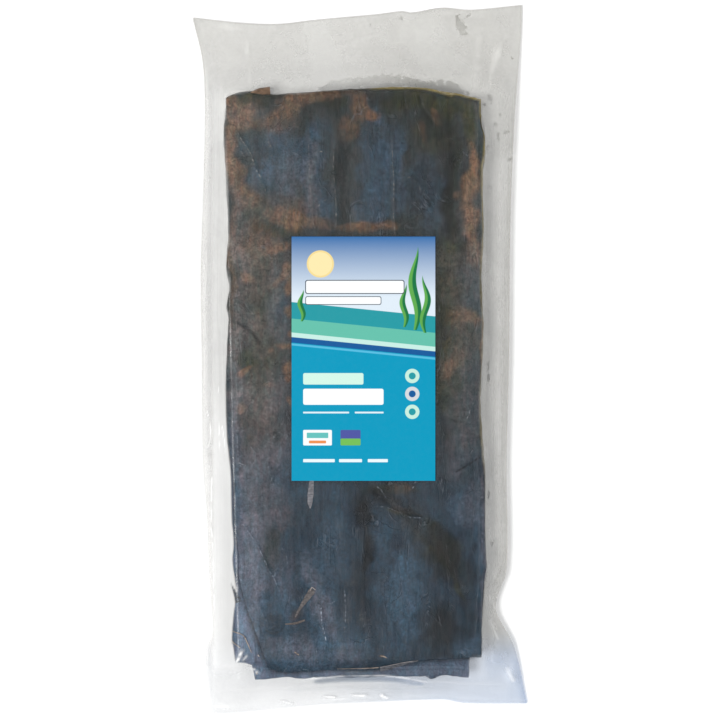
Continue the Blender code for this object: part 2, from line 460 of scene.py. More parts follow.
kelp = {
    "thick": 0.0013,
    "clear": 0.0009,  # between its rest surface and the film
    "columns": 189,
    "rows": 432,
    "fineStep": 3,
    "edgeRoll": 0.0009,
    "foldRoll": 0.0026,  # of the folded top end
    "ragged": 0.00035,
    # outline in millimetres: left and right as (y, x), bottom and top as (x, y)
    "left": (
        (-214, -64.5), (-205, -68.4), (-196, -71.6), (-186, -75.2), (-177, -78.2), (-168, -80.8),
        (-160, -83.2), (-150, -84.9), (-140, -84.4), (-131, -85.5), (-119, -87.2), (-98, -87.4),
        (-80, -88.4), (-66, -91.4), (-52, -93.0), (-18, -93.7),
        (7, -93.0), (31, -91.7), (37, -93.0), (43, -92.4), (52, -90.9), (59, -92.3),
        (68, -93.4), (88, -92.0), (112, -92.7), (147, -94.4), (161, -95.0), (184, -93.6),
    ),
    "right": (
        (-207, 85.0), (-189, 85.0), (-168, 86.0), (-156, 87.4), (-150, 88.5), (-136, 87.8),
        (-119, 87.1), (-98, 87.4), (-80, 87.4), (-66, 85.8), (-49, 84.4), (-28, 84.0),
        (10, 85.8), (28, 86.1), (42, 84.5), (60, 84.4), (80, 85.5), (91, 86.1),
        (128, 85.0), (136, 85.2), (140, 86.1), (147, 86.8), (158, 86.8), (165, 85.8),
        (170, 84.2), (182, 83.8),
    ),
    "bottom": (
        (-70, -213.2), (-62, -215.6), (-56, -217.8), (-42, -217.5),
        (-21, -216.3), (10, -216.3), (28, -212.8), (42, -210.0), (63, -208.6), (85, -207.0),
    ),
    "top": (
        (-94, 182.6), (-90, 185.0), (-84, 186.6), (-77, 187.0), (-61, 185.0), (-42, 186.2), (-28, 187.3),
        (-14, 188.2), (0, 188.8), (14, 189.3), (28, 189.5), (35, 189.7), (42, 189.3),
        (50, 188.0), (60, 185.3), (63, 184.4), (67, 185.3), (74, 183.6), (83, 181.4),
    ),
}

# Folds of the top sheet: path, half width, height and step down on the right-hand side, all in millimetres,
# then how pale its crest is and how pale bits break up; the pale crest is partly pale fibre and partly a painted glint
# of the film
creases = (
    (((-36.5, 166), (-35, 140), (-34.5, 120), (-33.5, 105), (-32, 88)), 1.5, 0.30, 0.10, 0.26),
    (((-19, 152), (-18.5, 135), (-17.5, 119), (-16.5, 108), (-16.5, 90)), 1.0, 0.25, 0.15, 0.30),
    (((22.5, 158), (23, 133), (23.5, 112), (24, 95), (25, 82)), 1.3, 0.25, 0.25, 0.40),
    (((-86, 160), (-84, 156), (-77, 145), (-73, 134), (-69, 126), (-64.5, 115)), 1.2, 0.35, -0.10, 0.50),
    (((-91, 159), (-84, 147), (-79, 140)), 1.0, 0.20, 0.0, 0.30),
    (((-68, 151), (-64, 153), (-61.5, 147), (-62, 141)), 1.3, 0.22, 0.0, 0.22),
    (((-67, 136), (-69, 127)), 0.9, 0.20, 0.0, 0.40),
    (((-53, 105), (-44, 112), (-38.5, 119)), 2.2, 0.28, 0.0, 0.22),
    (((-29.5, 106.5), (-26.5, 110), (-22.5, 111.5)), 1.1, 0.20, 0.0, 0.75),
    (((-28.5, 145.5), (-25.8, 145.6)), 0.5, 0.05, 0.0, 0.8),
    (((-45.6, 144.8), (-45.3, 142.6)), 0.7, 0.10, 0.0, 0.9),
    (((-33.5, 106), (-32.6, 99), (-31.5, 91)), 0.7, 0.12, 0.0, 0.8),
    (((-17.2, 117), (-16.2, 92)), 0.6, 0.10, 0.0, 0.6),
    (((-77, 66.5), (-68.5, 73.5), (-57.5, 77), (-46, 76)), 2.6, 0.35, 0.0, 0.0),
    (((-63, 51), (-56, 59.5), (-47, 70)), 1.8, 0.28, 0.0, 0.0),
    (((-88, 40.5), (-79, 35.5), (-71.5, 29.5), (-66, 21)), 2.0, 0.50, 0.0, 0.25),
    (((-88, 27), (-80, 23), (-74, 18), (-68.5, 10)), 1.6, -0.45, 0.0, 0.0),
    (((-85.5, 92), (-87, 70), (-86.5, 55), (-86.8, 42), (-86.5, 20), (-86.8, 0), (-86.3, -17),
      (-86, -42), (-85, -66), (-84.5, -84)), 0.8, 0.16, 0.14, 0.34),
    (((-84.5, -84), (-84.5, -112), (-83.2, -140), (-82, -160)), 0.9, 0.14, 0.12, 0.0),
    (((-66, -51), (-60, -53.5), (-55, -49)), 2.2, 0.30, 0.0, 0.30),
    (((-60, -53.5), (-61, -60)), 1.6, 0.20, 0.0, 0.20),
    (((-85.4, -71.2), (-82, -73), (-79, -73.6)), 0.7, 0.20, 0.0, 0.8),
    (((-87, -48.8), (-80, -49.2)), 0.6, 0.12, 0.0, 0.45),
    (((-78, -58.5), (-73, -64.5), (-72.3, -71.5), (-76, -74.5)), 1.3, 0.25, 0.0, 0.28),
    (((-65, -70), (-62.5, -80.5), (-58.5, -91)), 1.8, 0.28, 0.0, 0.25),
    (((-57, -72), (-60, -80), (-63, -86)), 1.2, 0.18, 0.0, 0.22),
    (((-84, -111), (-77, -121), (-71.5, -129.5), (-64.5, -143.5), (-60, -152), (-56, -161)),
     1.1, 0.55, -0.25, 0.55),
    (((-60, -152), (-57, -144.5)), 0.9, 0.25, 0.0, 0.35),
    (((-57, -130), (-52, -133), (-50, -141), (-55, -147)), 1.5, 0.22, 0.0, 0.22),
    (((-27.2, -170), (-27, -177), (-26.6, -183), (-25, -190), (-24, -195), (-25.5, -201)), 0.8, 0.25, 0.15, 1.0),
    (((-10.5, -160), (-9.8, -173.5), (-10.5, -190)), 0.7, 0.18, 0.10, 0.55),
    (((-30, -183), (-31, -200), (-29, -214)), 1.0, 0.15, 0.0, 0.25),
    (((-23.5, -168), (-20.5, -170), (-17.5, -168.2)), 0.8, 0.12, 0.0, 0.45),
    (((8.5, -90), (15.5, -94.5), (24.5, -103.5), (36.5, -106.5), (46, -110)), 2.0, -0.55, 0.20, 0.0),
    (((10.5, -87.6), (15, -90.6), (18.5, -97)), 0.7, 0.15, 0.0, 0.50),
    (((7, -101.5), (17.5, -102.4), (26.5, -106), (35, -109.3), (50, -111)), 0.8, 0.18, 0.0, 0.42),
    (((38.6, -83), (36.3, -89.5)), 0.8, 0.10, 0.0, 0.65),
    (((66, -78.5), (74, -74), (86, -66)), 0.7, -0.50, 0.0, 0.0),
    (((53, -32), (63, -23)), 1.0, -0.40, 0.0, 0.0),
    (((55, -38), (66, -42), (74, -44)), 1.0, -0.25, 0.0, 0.0),
    (((81.5, -25), (77, -33.5), (74.5, -42)), 1.1, 0.25, 0.0, 0.50),
    (((61.5, 35.2), (65.5, 33.4)), 0.6, 0.10, 0.0, 0.8),
    (((60.5, 36.4), (66, 35.2)), 0.6, -0.30, 0.0, 0.0),
    (((41.5, 186), (42.5, 178.5), (47.5, 171), (52, 164)), 1.2, -0.30, 0.0, 0.0),
    (((43, 180), (45, 175), (50, 170)), 1.2, 0.20, 0.0, 0.15),
    (((29.5, 124.5), (35, 127.2), (40.5, 123)), 0.8, 0.18, 0.0, 0.28),
    (((40.5, 124), (43, 117)), 0.8, 0.12, 0.0, 0.20),
    (((80.5, 84), (81, 112), (81.5, 147), (82, 168), (80.5, 183)), 0.9, 0.18, -0.24, 0.12),
    (((79.5, -200), (81.5, -175), (83.3, -150), (83, -133), (83.3, -98), (82, -56)), 0.9, 0.18, -0.22, 0.12),
    (((-66.5, -187.5), (-61.5, -190.6), (-55, -189), (-52.5, -184.5)), 1.5, -0.35, 0.0, 0.0),
    (((-69, -184), (-63, -186), (-57, -184)), 1.8, 0.30, 0.0, 0.15),
    (((-60, -205), (-54, -203.5), (-47, -204.5)), 1.4, 0.22, 0.0, 0.12),
    (((-73, -160), (-70, -172), (-66, -182)), 1.5, 0.30, 0.0, 0.10),
    (((14, -204.8), (18.5, -207.2)), 0.9, 0.15, 0.0, 0.70),
    (((47, -171), (51, -173)), 0.8, 0.12, 0.0, 0.50),
    (((29, -180), (30.5, -165), (28, -150)), 1.0, 0.12, 0.0, 0.15),
    (((33, -185), (32, -200)), 0.9, 0.10, 0.0, 0.18),
    (((-42, -215.2), (-36, -216.4)), 1.2, 0.10, 0.0, 0.60),
    (((60, -40), (59, -66), (60, -88)), 2.6, -0.30, 0.0, 0.0),
)

# Patches of colour on the top sheet, as blots in millimetres: middle, half sizes, turn, strength
patches = {
    "rust": (
        (-89, 147, 4, 36, 0, 0.80), (-82, 171, 12, 10, 0, 0.68), (-60, 166, 15, 7, 0, 0.42), (-84, 124, 5, 14, 0, 0.45),
        (-50, 175, 14, 6, 25, 0.80), (-30, 183, 20, 3.5, 4, 0.75), (-3, 179, 7, 8, 0, 0.95), (6, 171, 5, 3, -40, 0.6),
        (4, 173, 9, 4, -15, 0.75), (-8, 160, 6, 10, 0, 0.60), (53, 172, 2.0, 7, 32, 0.80),
        (44, 161, 3, 8, 15, 0.45), (78, 140, 3.5, 14, 0, 0.80), (77.5, 119, 5, 19, 0, 1.00),
        (78, 97, 6, 14, 0, 0.95), (-52, 98, 12, 8, -10, 0.90), (-44, 94, 9, 6, 0, 0.70),
        (-28, 94, 12, 5, 0, 0.60), (4, 92.0, 19, 3.5, 0, 0.85), (68.5, 113, 2.2, 3.2, 0, 0.60),
        (-80, 112, 10, 8, -20, 0.50), (-40, 108, 10, 8, 30, 0.35), (78, 76, 6, 9, 0, 0.40),
        (74, 31, 12, 4.8, -12, 0.90), (66, 30, 8, 8, 0, 0.30), (63, -4.5, 3.0, 7.5, -28, 1.0),
        (66, -2, 6, 10, -28, 0.30), (-80, 58, 7.5, 4.4, 0, 1.00), (-60, 74.5, 14, 3.4, 16, 0.85),
        (-55, 60.5, 11, 2.6, 48, 0.90), (-75, 74, 14, 9, 0, 0.45), (-51, 52, 3.4, 5, 0, 0.95),
        (-49.5, 35, 3.2, 4, 0, 0.95), (-48.5, 19, 2.8, 3, 0, 0.85), (-51.5, 9, 5.5, 2.5, 0, 0.85),
        (-49.5, -6, 3.2, 4.4, 0, 1.0), (-48.3, -13.5, 2, 2.6, 0, 0.9), (-48.2, -31, 1.8, 3.6, 0, 0.7),
        (-80.5, -8.5, 3.6, 1.9, 30, 1.0), (-81.5, -33, 3.0, 2.4, -30, 1.0), (-64, -18, 5, 2.2, 0, 0.55),
        (-62.5, 5, 2, 2, 0, 0.45), (-64, -104, 16, 16, 0, 0.16), (32, -90, 9, 4, 0, 0.25),
        (60, -140, 16, 3, -54, 0.16), (28, -106, 7, 2.5, -20, 0.25), (57, -187, 12, 12, 0, 0.03),
        (16, -206, 3, 1.2, -25, 0.7), (86, 20, 1.2, 50, 0, 0.5), (-43, -176, 7, 3, 42, 0.25),
        (-90, 60, 3, 40, 0, 0.40), (-68, -46, 14, 22, 0, 0.22), (-72, 86, 14, 10, 0, 0.28),
        
    ),
    # painted bluish sheen: light off the film, laid into the kelp's colour
    "blueSheen": (
        (-50, 138, 25, 26, 0, 0.60), (-32, 126, 7, 36, 0, 0.65), (-22, 106, 7, 14, 0, 0.60),
        (-26, 163, 8, 8, 0, 0.35), (13, 137, 12, 34, 0, 0.85), (24, 134, 6, 24, 0, 0.65),
        (8, 108, 12, 12, 0, 0.50), (42, 124, 14, 18, 0, 0.50), (50, 103, 9, 16, 0, 0.40),
        (-57, 32, 9, 24, 0, 0.35), (74, 54, 7, 20, 0, 0.25), (76, -14, 7, 26, 0, 0.18),
        (-52, -74, 12, 20, 0, 0.30), (-87, -80, 4, 60, 0, 0.45), (28, -168, 16, 34, 0, 0.90),
        (14, -126, 7, 20, 5, 0.60), (-8, -202, 18, 14, 0, 0.80), (-28, -172, 9, 34, 14, 0.60),
        (-18, -130, 11, 34, 0, 0.50), (70, -99, 8, 14, 0, 0.45), (-54, -171, 9, 24, 0, 0.55),
        (-40, -206, 24, 9, 0, 0.80), (74, -200, 9, 14, 0, 0.60), (82, -130, 3, 40, 0, 0.40),
        (-74, -165, 9, 36, 8, 0.60), (-20, -92, 20, 8, 0, 0.25), (40, -120, 8, 14, 0, 0.30),
    ),
    "olive": (
        (-70, 181, 18, 5, 8, 0.68), (-20, 180, 7, 6, 0, 0.55), (45, 180, 34, 8, -6, 0.85),
        (54, 160, 17, 16, 0, 0.55), (77, 168, 5, 18, 0, 0.70), (22, 176, 12, 7, 0, 0.50),
        (-70, 104, 15, 12, 0, 0.55), (-53, 88, 10, 4, 0, 0.50), (64, 120, 5, 34, 0, 0.60),
        (-70, 0, 13, 38, 0, 0.60), (-66, 48, 14, 16, 0, 0.45), (58, 0, 9, 40, 0, 0.55),
        (58, 45, 8, 32, 0, 0.55), (26, -108, 10, 2.2, -22, 0.60), (45, -128, 2.0, 18, 40, 0.65),
        (68, -158, 2.0, 16, 28, 0.60), (53, -130, 11, 30, 38, 0.62), (57, -187, 13, 14, 0, 0.12),
        (-62, -132, 8, 12, 0, 0.35), (-72, 70, 10, 8, 0, 0.5), (20, -90, 16, 4, 0, 0.45),
        (68, 10, 14, 66, 0, 0.42), (-72, -36, 14, 30, 0, 0.30),
    ),
    "ash": (
        (-73, 187, 10, 3, 0, 0.45), (-80, 172, 12, 9, 0, 0.25), (-89, 140, 4, 36, 0, 0.25),
        (-32, 122, 4, 30, 4, 0.55), (-46, 122, 12, 20, 0, 0.25), (-70, 102, 17, 12, 0, 0.30),
        (-86, 80, 6, 30, 0, 0.50), (-72, 60, 20, 26, 0, 0.45), (-70, 20, 20, 22, 0, 0.45),
        (-70, -30, 20, 22, 0, 0.52), (-72, -72, 18, 22, 0, 0.62), (-86, -20, 5, 60, 0, 0.50),
        (-76, -146, 9, 50, 4, 0.62), (-66, -104, 18, 18, 0, 0.34), (-27, -170, 6, 32, 16, 0.65),
        (-42, -205, 20, 6, 0, 0.50), (-7, -206, 14, 8, 0, 0.30), (72, 60, 14, 26, 0, 0.30),
        (72, 10, 14, 26, 0, 0.28), (72, -40, 12, 20, 0, 0.34), (76, 104, 9, 20, 0, 0.18),
        (66, -70, 12, 16, 0, 0.34), (76, -100, 7, 16, 0, 0.35), (-54, -150, 12, 20, 0, 0.30),
        (85.5, -125, 2, 48, 0, 0.60), (-50, -202, 16, 10, 0, 0.35),
    ),
    # darker patches: partly the kelp's own dark tone, partly painted shade in folds and hollows
    "darkAndShade": (
        (4, -104, 9, 15, 0, 1.00), (5, -116, 7, 18, 0, 0.70), (19, -97, 12, 5, -25, 0.85), (5.5, -134, 4.5, 16, 0, 0.85),
        (0, -156, 6, 24, 8, 0.50), (55, -134, 12, 33, 38, 0.76), (58, -188, 16, 18, 0, 0.82),
        (-60, -184, 7, 6, 0, 0.45), (-70, 181, 16, 5, 8, 0.58), (-20, 178, 6, 7, 0, 0.55),
        (-11, 130, 5, 36, 0, 0.65), (44, 122, 13, 20, 0, 0.50), (62, 124, 6, 36, 0, 0.80),
        (54, 164, 20, 14, -15, 0.55), (28, 182, 20, 5, 0, 0.25), (3, 114, 4, 14, 0, 0.25),
        (59, -62, 5.5, 26, 0, 0.50), (-66, 147, 8, 6, 0, 0.35), (66, -206, 18, 3, 0, 0.4),
        (0, 82, 48, 2.5, 0, 0.50), (56, 20, 4, 60, 0, 0.30), (76, -176, 6, 18, 0, 0.45),
        (-46, -132, 5, 26, 0, 0.25), (-62, -122, 7, 8, 0, 0.30), (72, 124, 3, 14, 0, 0.30),
    ),
}


def kelpEdge(side, place):
    at = np.array(kelp[side]) * mm
    return follow(at, place)


def kelpRest(x, y):
    return bagTop(x, y) - kelp["clear"]


def kelpRelief(x, y):
    # folds and puckers of the top sheet, its signed distance from the nearest pale crease in millimetres
    # and how pale that is, partly pale fibre and partly a painted glint of the film
    height = 0.20 * mm * cloud(x, y * 0.45, 0.016, 3, 4) + 0.09 * mm * cloud(x, y * 0.25, 0.0032, 5, 2)
    pale = np.zeros(x.shape)
    crease = np.full(x.shape, 3.0)
    sway = 0.5 * mm * cloud(x, y, 0.012, 12, 2)
    for path, wide, high, step, paleness in creases:
        away, side, share = alongPath(x + sway, y - sway, path)
        fade = smooth(share / 0.12) * smooth((1 - share) / 0.12)
        height += high * mm * fade * np.exp(-((away / (wide * mm)) ** 2))
        if step:
            fall = smooth(0.5 - side * away / (1.6 * mm)) * np.exp(-((away / (14 * mm)) ** 2))
            height -= step * mm * fade * fall
        if paleness:
            nearer = away / mm < np.abs(crease)
            crease = np.where(nearer, side * away / mm, crease)
            pale = np.where(nearer, paleness * np.sqrt(fade) * smooth(2.2 - away / mm), pale)
    return height, crease, pale


def bladeGrid(columns, rows, left, right, bottom, top, ragged, seed):
    # lines drawn closer together along the rim, where the sheet turns down
    def lines(count):
        inner = np.linspace(0, 1, count - 5)
        extra = inner[1] * np.array((0.15, 0.35, 0.65))
        return np.sort(np.r_[inner, extra, 1 - extra])
    u, v = np.meshgrid(lines(columns), lines(rows))
    midBottom, midTop = bottom(np.zeros(1))[0], top(np.zeros(1))[0]
    y = mixed(midBottom, midTop, v)
    wander = lambda place, turn: ragged * cloud(place, place * 0 + turn, 0.006, seed, 3)
    x = mixed(left(y) + wander(y, 0.1), right(y) + wander(y, 0.2), u)
    y = mixed(bottom(x) + wander(x, 0.3), top(x) + wander(x, 0.4), v)
    rims = (x - left(y), right(y) - x, y - bottom(x), top(x) - y)
    return x, y, rims


def roll(away, radius):
    # how far a rounded rim has dropped, from its distance to the edge
    inside = 1 - np.clip(away / radius, 0, 1)
    return radius * (1 - np.sqrt(1 - inside**2 * 0.96))


def kelpMaterial(name, useTone):
    material, tree, shader, _ = newMaterial(name)
    place = objectPlace(tree)
    field = lambda label: addNode(tree, "ShaderNodeAttribute", attribute_name=label).outputs
    grain = useGroup(tree, fibreGrain, {"Place": place, "Fibre Scale": 620.0, "Mottle Scale": 280.0,
                                        "Stretch": 0.10})
    drawn = objectPlace(tree, scale=(1.0, 0.4, 1.0))
    coarse = noise(tree, drawn, 60.0, 5.0, 0.62, 0.8)
    grit = noise(tree, objectPlace(tree, rotation=(0.5, 0.9, 0.3)), 760.0, 2.0, 0.65)  # turned off the sheet's plane
    # lengthwise smears: partly fibre tone, partly a painted veil of sheen from the film
    smear = noise(tree, objectPlace(tree, scale=(1.0, 0.07, 1.0)), 170.0, 4.0, 0.65)
    fine = ranged(tree, smear, 0.35, 0.65, 0.86, 1.12)
    wisp = ranged(tree, noise(tree, drawn, 110.0, 5.0, 0.66, 0.6), 0.35, 0.65, 0.66, 1.20)
    upward = addNode(tree, "ShaderNodeSeparateXYZ", {"Vector": place}).outputs["Y"]

    def laidOver(colour, share, thin, thick):
        # a stain, or the painted bluish sheen, that the fibres and mottling break up
        share = calc(tree, "MULTIPLY", calc(tree, "MULTIPLY", share, wisp), fine, clamp=True)
        return tint(tree, share, colour, tint(tree, ranged(tree, grain["Mottle"], 0.3, 0.7), thin, thick))

    if useTone:
        tone = field("tone")
        parts = addNode(tree, "ShaderNodeSeparateColor", {"Color": tone["Color"]}).outputs
        headward = ranged(tree, upward, -0.12, 0.02)
        darkest = tint(tree, headward, (0.011, 0.020, 0.032), (0.016, 0.020, 0.018))
        lightest = tint(tree, headward, (0.026, 0.046, 0.066), (0.036, 0.043, 0.045))
        colour = tint(tree, ranged(tree, coarse, 0.30, 0.70), darkest, lightest)
        colour = laidOver(colour, parts["Blue"], (0.016, 0.019, 0.006), (0.048, 0.047, 0.020))
        # painted bluish sheen of the film over the kelp
        colour = laidOver(colour, parts["Green"], tint(tree, headward, (0.026, 0.055, 0.084), (0.029, 0.055, 0.082)),
                          tint(tree, headward, (0.052, 0.095, 0.142), (0.056, 0.093, 0.136)))
        colour = laidOver(colour, parts["Red"], (0.082, 0.048, 0.028), (0.185, 0.108, 0.062))
        thin = tint(tree, headward, (0.058, 0.062, 0.078), (0.068, 0.062, 0.060))
        thick = tint(tree, headward, (0.122, 0.128, 0.158), (0.146, 0.130, 0.120))
        colour = laidOver(colour, tone["Alpha"], thin, thick)
        # darker patches and painted shade
        darkAndShade = calc(tree, "MULTIPLY", field("darkAndShade")["Fac"], 0.94, clamp=True)
        colour = tint(tree, darkAndShade, colour, (0.006, 0.007, 0.008))
        # painted light and shade: lighter at the left and right edges, darker down the middle
        colour = scaled(tree, colour, field("lift")["Fac"])
    else:
        colour = tint(tree, ranged(tree, coarse, 0.30, 0.70), (0.052, 0.074, 0.108), (0.116, 0.152, 0.208))
        colour = tint(tree, ranged(tree, upward, -0.05, 0.12), colour, (0.060, 0.052, 0.036))
        colour = scaled(tree, colour, calc(tree, "SUBTRACT", 1.0, field("shadow")["Fac"]))
        rightward = addNode(tree, "ShaderNodeSeparateXYZ", {"Vector": place}).outputs["X"]
        colour = scaled(tree, colour, ranged(tree, rightward, -0.02, 0.05, 1.15, 0.80))
    warm = ranged(tree, noise(tree, drawn, 260.0, 4.0, 0.65, 0.5), 0.38, 0.62)
    colour = addNode(tree, "ShaderNodeVectorMath", {
        0: colour, 1: tint(tree, warm, (0.90, 1.02, 1.04), (1.12, 0.98, 1.00))}, operation="MULTIPLY").outputs[0]
    colour = scaled(tree, colour, ranged(tree, grain["Mottle"], 0.3, 0.7, 0.86, 1.16))
    colour = scaled(tree, colour, ranged(tree, grain["Fibre"], 0.3, 0.7, 0.86, 1.14))
    colour = scaled(tree, colour, ranged(tree, smear, 0.35, 0.65, 0.94, 1.06))
    colour = scaled(tree, colour, ranged(tree, grit, 0.3, 0.7, 0.74, 1.27))
    winding = useGroup(tree, wrinkleLines, {"Place": place, "Scale": 42.0, "Spread": 33.0, "Width": 0.010})
    lengthwise = useGroup(tree, wrinkleLines, {"Place": objectPlace(tree, scale=(1.0, 0.22, 1.0)),
                                               "Scale": 75.0, "Spread": 60.0, "Width": 0.013})
    crest = calc(tree, "MAXIMUM", winding["Crest"], lengthwise["Crest"])
    groove = calc(tree, "MAXIMUM", winding["Groove"], lengthwise["Groove"])
    # painted shade in the wrinkle grooves, then a painted highlight on their crests
    colour = tint(tree, calc(tree, "MULTIPLY", groove, 0.30), colour, (0.008, 0.009, 0.010))
    colour = tint(tree, calc(tree, "MULTIPLY", crest, 0.15), colour, (0.30, 0.32, 0.36))
    if useTone:
        # a crease shows as a thin pale line, broken along its length: partly pale fibre, partly a painted glint of the
        # film
        away = calc(tree, "ABSOLUTE", calc(tree, "ADD", field("crease")["Fac"],
                                           calc(tree, "MULTIPLY", calc(tree, "SUBTRACT", grit, 0.5), 0.9)))
        fleck = ranged(tree, noise(tree, place, 420.0, 4.0, 0.65), 0.47, 0.66)
        line = calc(tree, "MULTIPLY", ranged(tree, away, 0.44, 0.08), fleck)
        line = calc(tree, "MULTIPLY", line, field("pale")["Fac"], clamp=True)
        colour = tint(tree, line, colour, tint(tree, ranged(tree, upward, -0.12, 0.05), (0.38, 0.43, 0.52),
                                               (0.38, 0.36, 0.33)))
    # painted glow where light shines through the thin edge
    rim = calc(tree, "MULTIPLY", field("rim")["Fac"], ranged(tree, grain["Mottle"], 0.3, 0.6, 0.4, 1.0))
    colour = tint(tree, rim, colour, (0.30, 0.235, 0.075))
    feed(tree, shader.inputs["Base Color"], colour)
    feed(tree, shader.inputs["Roughness"], ranged(tree, grain["Mottle"], 0.3, 0.7, 0.38, 0.60))
    shader.inputs["Specular IOR Level"].default_value = 0.15
    height = calc(tree, "ADD", grain["Height"], calc(tree, "MULTIPLY", calc(tree, "SUBTRACT", crest, groove), 0.8))
    bump = addNode(tree, "ShaderNodeBump", {"Height": height, "Strength": 0.5, "Distance": 0.0004})
    feed(tree, shader.inputs["Normal"], bump.outputs[0])
    return material


def rimGlowShare(x, y, away, wide):
    # a painted glow of light through the thin olive edge, along the right half of the top and down the right side,
    # where it fades
    full = mixed(0.5 * smooth((y + 0.11) / 0.05), 1.0, smooth((y - 0.06) / 0.05))
    return np.exp(-((away / wide) ** 2)) * full * smooth(x / 0.02)


def topSheet(material):
    edges = [lambda place, side=side: kelpEdge(side, place) for side in ("left", "right", "bottom", "top")]
    x, y, rims = bladeGrid(kelp["columns"], kelp["rows"], *edges, kelp["ragged"], 21)
    relief, crease, pale = kelpRelief(x, y)
    drop = roll(np.minimum(np.minimum(rims[0], rims[1]), rims[2]), kelp["edgeRoll"])
    drop = np.maximum(drop, roll(rims[3], kelp["foldRoll"]))
    top = kelpRest(x, y) + relief - drop
    under = kelpRest(x, y) + np.minimum(relief, 0) - kelp["thick"] - drop * 0.4
    under = np.minimum(under, top - 0.0004)
    warp = 2.5 * mm * cloud(x, y, 0.018, 31, 3)
    wx, wy = x + warp, y + 2.5 * mm * cloud(x, y, 0.018, 32, 3)
    tone = np.zeros((*x.shape, 4))
    tone[..., 0] = blots(wx, wy, patches["rust"], 41)
    # the green channel holds the painted bluish sheen
    tone[..., 1] = blots(wx, wy, patches["blueSheen"], 42)
    tone[..., 2] = blots(wx, wy, patches["olive"], 43)
    tone[..., 3] = blots(wx, wy, patches["ash"], 45)
    darkAndShade = blots(wx, wy, patches["darkAndShade"], 44)
    # painted shade along the grooves of the sunken creases
    for path, wide, high, _, _ in creases:
        if high < 0:
            away, _, share = alongPath(x, y, path)
            fade = smooth(share / 0.1) * smooth((1 - share) / 0.1)
            darkAndShade = np.maximum(darkAndShade, -1.7 * high * fade * np.exp(-((away / (0.7 * wide * mm)) ** 2)))
    rim = 0.8 * rimGlowShare(x, y, np.minimum(rims[1], rims[3]), 0.0007)
    # painted light and shade over the top sheet: lighter towards the left edge and along the upper right edge, darker
    # down the middle, standing in for the film's veil
    lift = 0.95 + 0.34 * np.exp(-(((x + 0.094) / 0.028) ** 2)) - 0.20 * np.exp(-(((x - 0.012) / 0.036) ** 2))
    lift += 0.40 * np.exp(-(((x - 0.086) / 0.009) ** 2)) * smooth((y + 0.02) / 0.08)
    return slab("topSheet", x, y, top, under, material, kelp["fineStep"],
                {"tone": tone, "darkAndShade": darkAndShade, "crease": crease, "pale": pale, "rim": rim, "lift": lift})


pieces = {"topSheet": topSheet(kelpMaterial("topKelp", True))}
print("top sheet:", len(pieces["topSheet"].data.polygons), "faces")

# Sheets just under the top one, seen where they stick out: outlines in millimetres, depth under the top sheet
lowerKelp = kelpMaterial("lowerKelp", False)
underSheets = {
    "secondSheet": {
        "depth": 0.0017, "thick": 0.0010, "columns": 90, "rows": 200, "rim": 1.0,
        "left": (
            (-211, -86.6), (-207, -87.6), (-199, -88.6), (-196, -89.4), (-189, -89.2), (-182, -88.6),
            (-176, -88.0), (-170, -87.0), (-166, -85.8), (-161, -86.2), (-154, -87.3), (-140, -89.0),
            (-131, -88.4), (-122, -88.6), (-112, -89.4), (-98, -89.8), (-77, -90.4), (-60, -92.0),
            (30, -91.0), (60, -91.5), (120, -92.0), (181, -93.0),
        ),
        "right": (
            (-203, 84.4), (-150, 87.2), (-80, 86.8), (-28, 84.0), (28, 85.8), (60, 84.6), (91, 86.3),
            (128, 85.5), (140, 86.4), (147, 87.3), (158, 87.2), (165, 86.4), (170, 84.9), (181, 84.6),
        ),
        "bottom": ((-87, -210.6), (-80, -211.2), (-74, -213.0), (-66, -214.0), (-40, -214), (0, -212), (40, -207),
                   (84, -203)),
        "top": (
            (-93.6, 183.0), (-89, 185.2), (-84, 186.5), (-75, 187.4), (-68, 187.0), (-61.5, 185.2),
            (-42, 186.4), (-14, 188.4), (0, 189.2), (14, 190.0),
            (28, 190.3), (35, 190.4), (42, 190.0), (50, 188.8), (60, 186.6), (63, 186.2), (67, 186.2),
            (74, 184.5), (84, 182.0),
        ),
    },
    "endSheet": {
        "depth": 0.0032, "thick": 0.0013, "columns": 90, "rows": 24, "rim": 0.0,
        "left": ((-223, -72.8), (-214, -74.5), (-200, -78.0), (-180, -80.0)),
        "right": ((-221, 75.6), (-214, 76.2), (-200, 77.0), (-180, 78.0)),
        "bottom": (
            (-74, -223.5), (-62, -222.0), (-50, -221.2), (-42, -222.4), (-30, -220.8), (-20, -220.0),
            (10, -219.4), (30, -221.2), (47, -220.6), (49, -222.6), (52, -222.2), (55, -220.4),
            (60, -220.2), (76, -221.4),
        ),
        "top": ((-80, -180), (78, -180)),
    },
    "brokenSheet": {
        "depth": 0.0048, "thick": 0.0012, "columns": 80, "rows": 24, "rim": 0.0,
        "left": ((-221, -70.0), (-180, -76.0)),
        "right": ((-221, 71.0), (-180, 76.0)),
        "bottom": ((-70, -219.0), (-20, -221.8), (20, -220.8), (40, -218.0), (71, -219.5)),
        "top": ((-76, -180), (76, -180)),
    },
}


def underSheet(name, sheet, seed):
    edges = [lambda place, side=side: follow(np.array(sheet[side]) * mm, place)
             for side in ("left", "right", "bottom", "top")]
    x, y, rims = bladeGrid(sheet["columns"], sheet["rows"], *edges, 0.0004, seed)
    drop = roll(np.minimum.reduce(rims), 0.0006)
    ripple = 0.12 * mm * cloud(x, y, 0.02, seed, 3)
    top = kelpRest(x, y) - sheet["depth"] + ripple - drop
    rim = sheet["rim"] * rimGlowShare(x, y, np.minimum.reduce(rims), 0.0016)
    bare = np.maximum(kelpEdge("left", y) - x, kelpEdge("bottom", x) - y)  # how far out from under the top sheet
    shadow = 0.72 * np.exp(-np.clip(bare, 0, 1) / (1.8 * mm))
    return slab(name, x, y, top, top - sheet["thick"] + 0.5 * drop, lowerKelp, 2, {"rim": rim, "shadow": shadow})


for number, (name, sheet) in enumerate(underSheets.items()):
    pieces[name] = underSheet(name, sheet, 50 + number)
print("sheets under it:", ", ".join(underSheets))

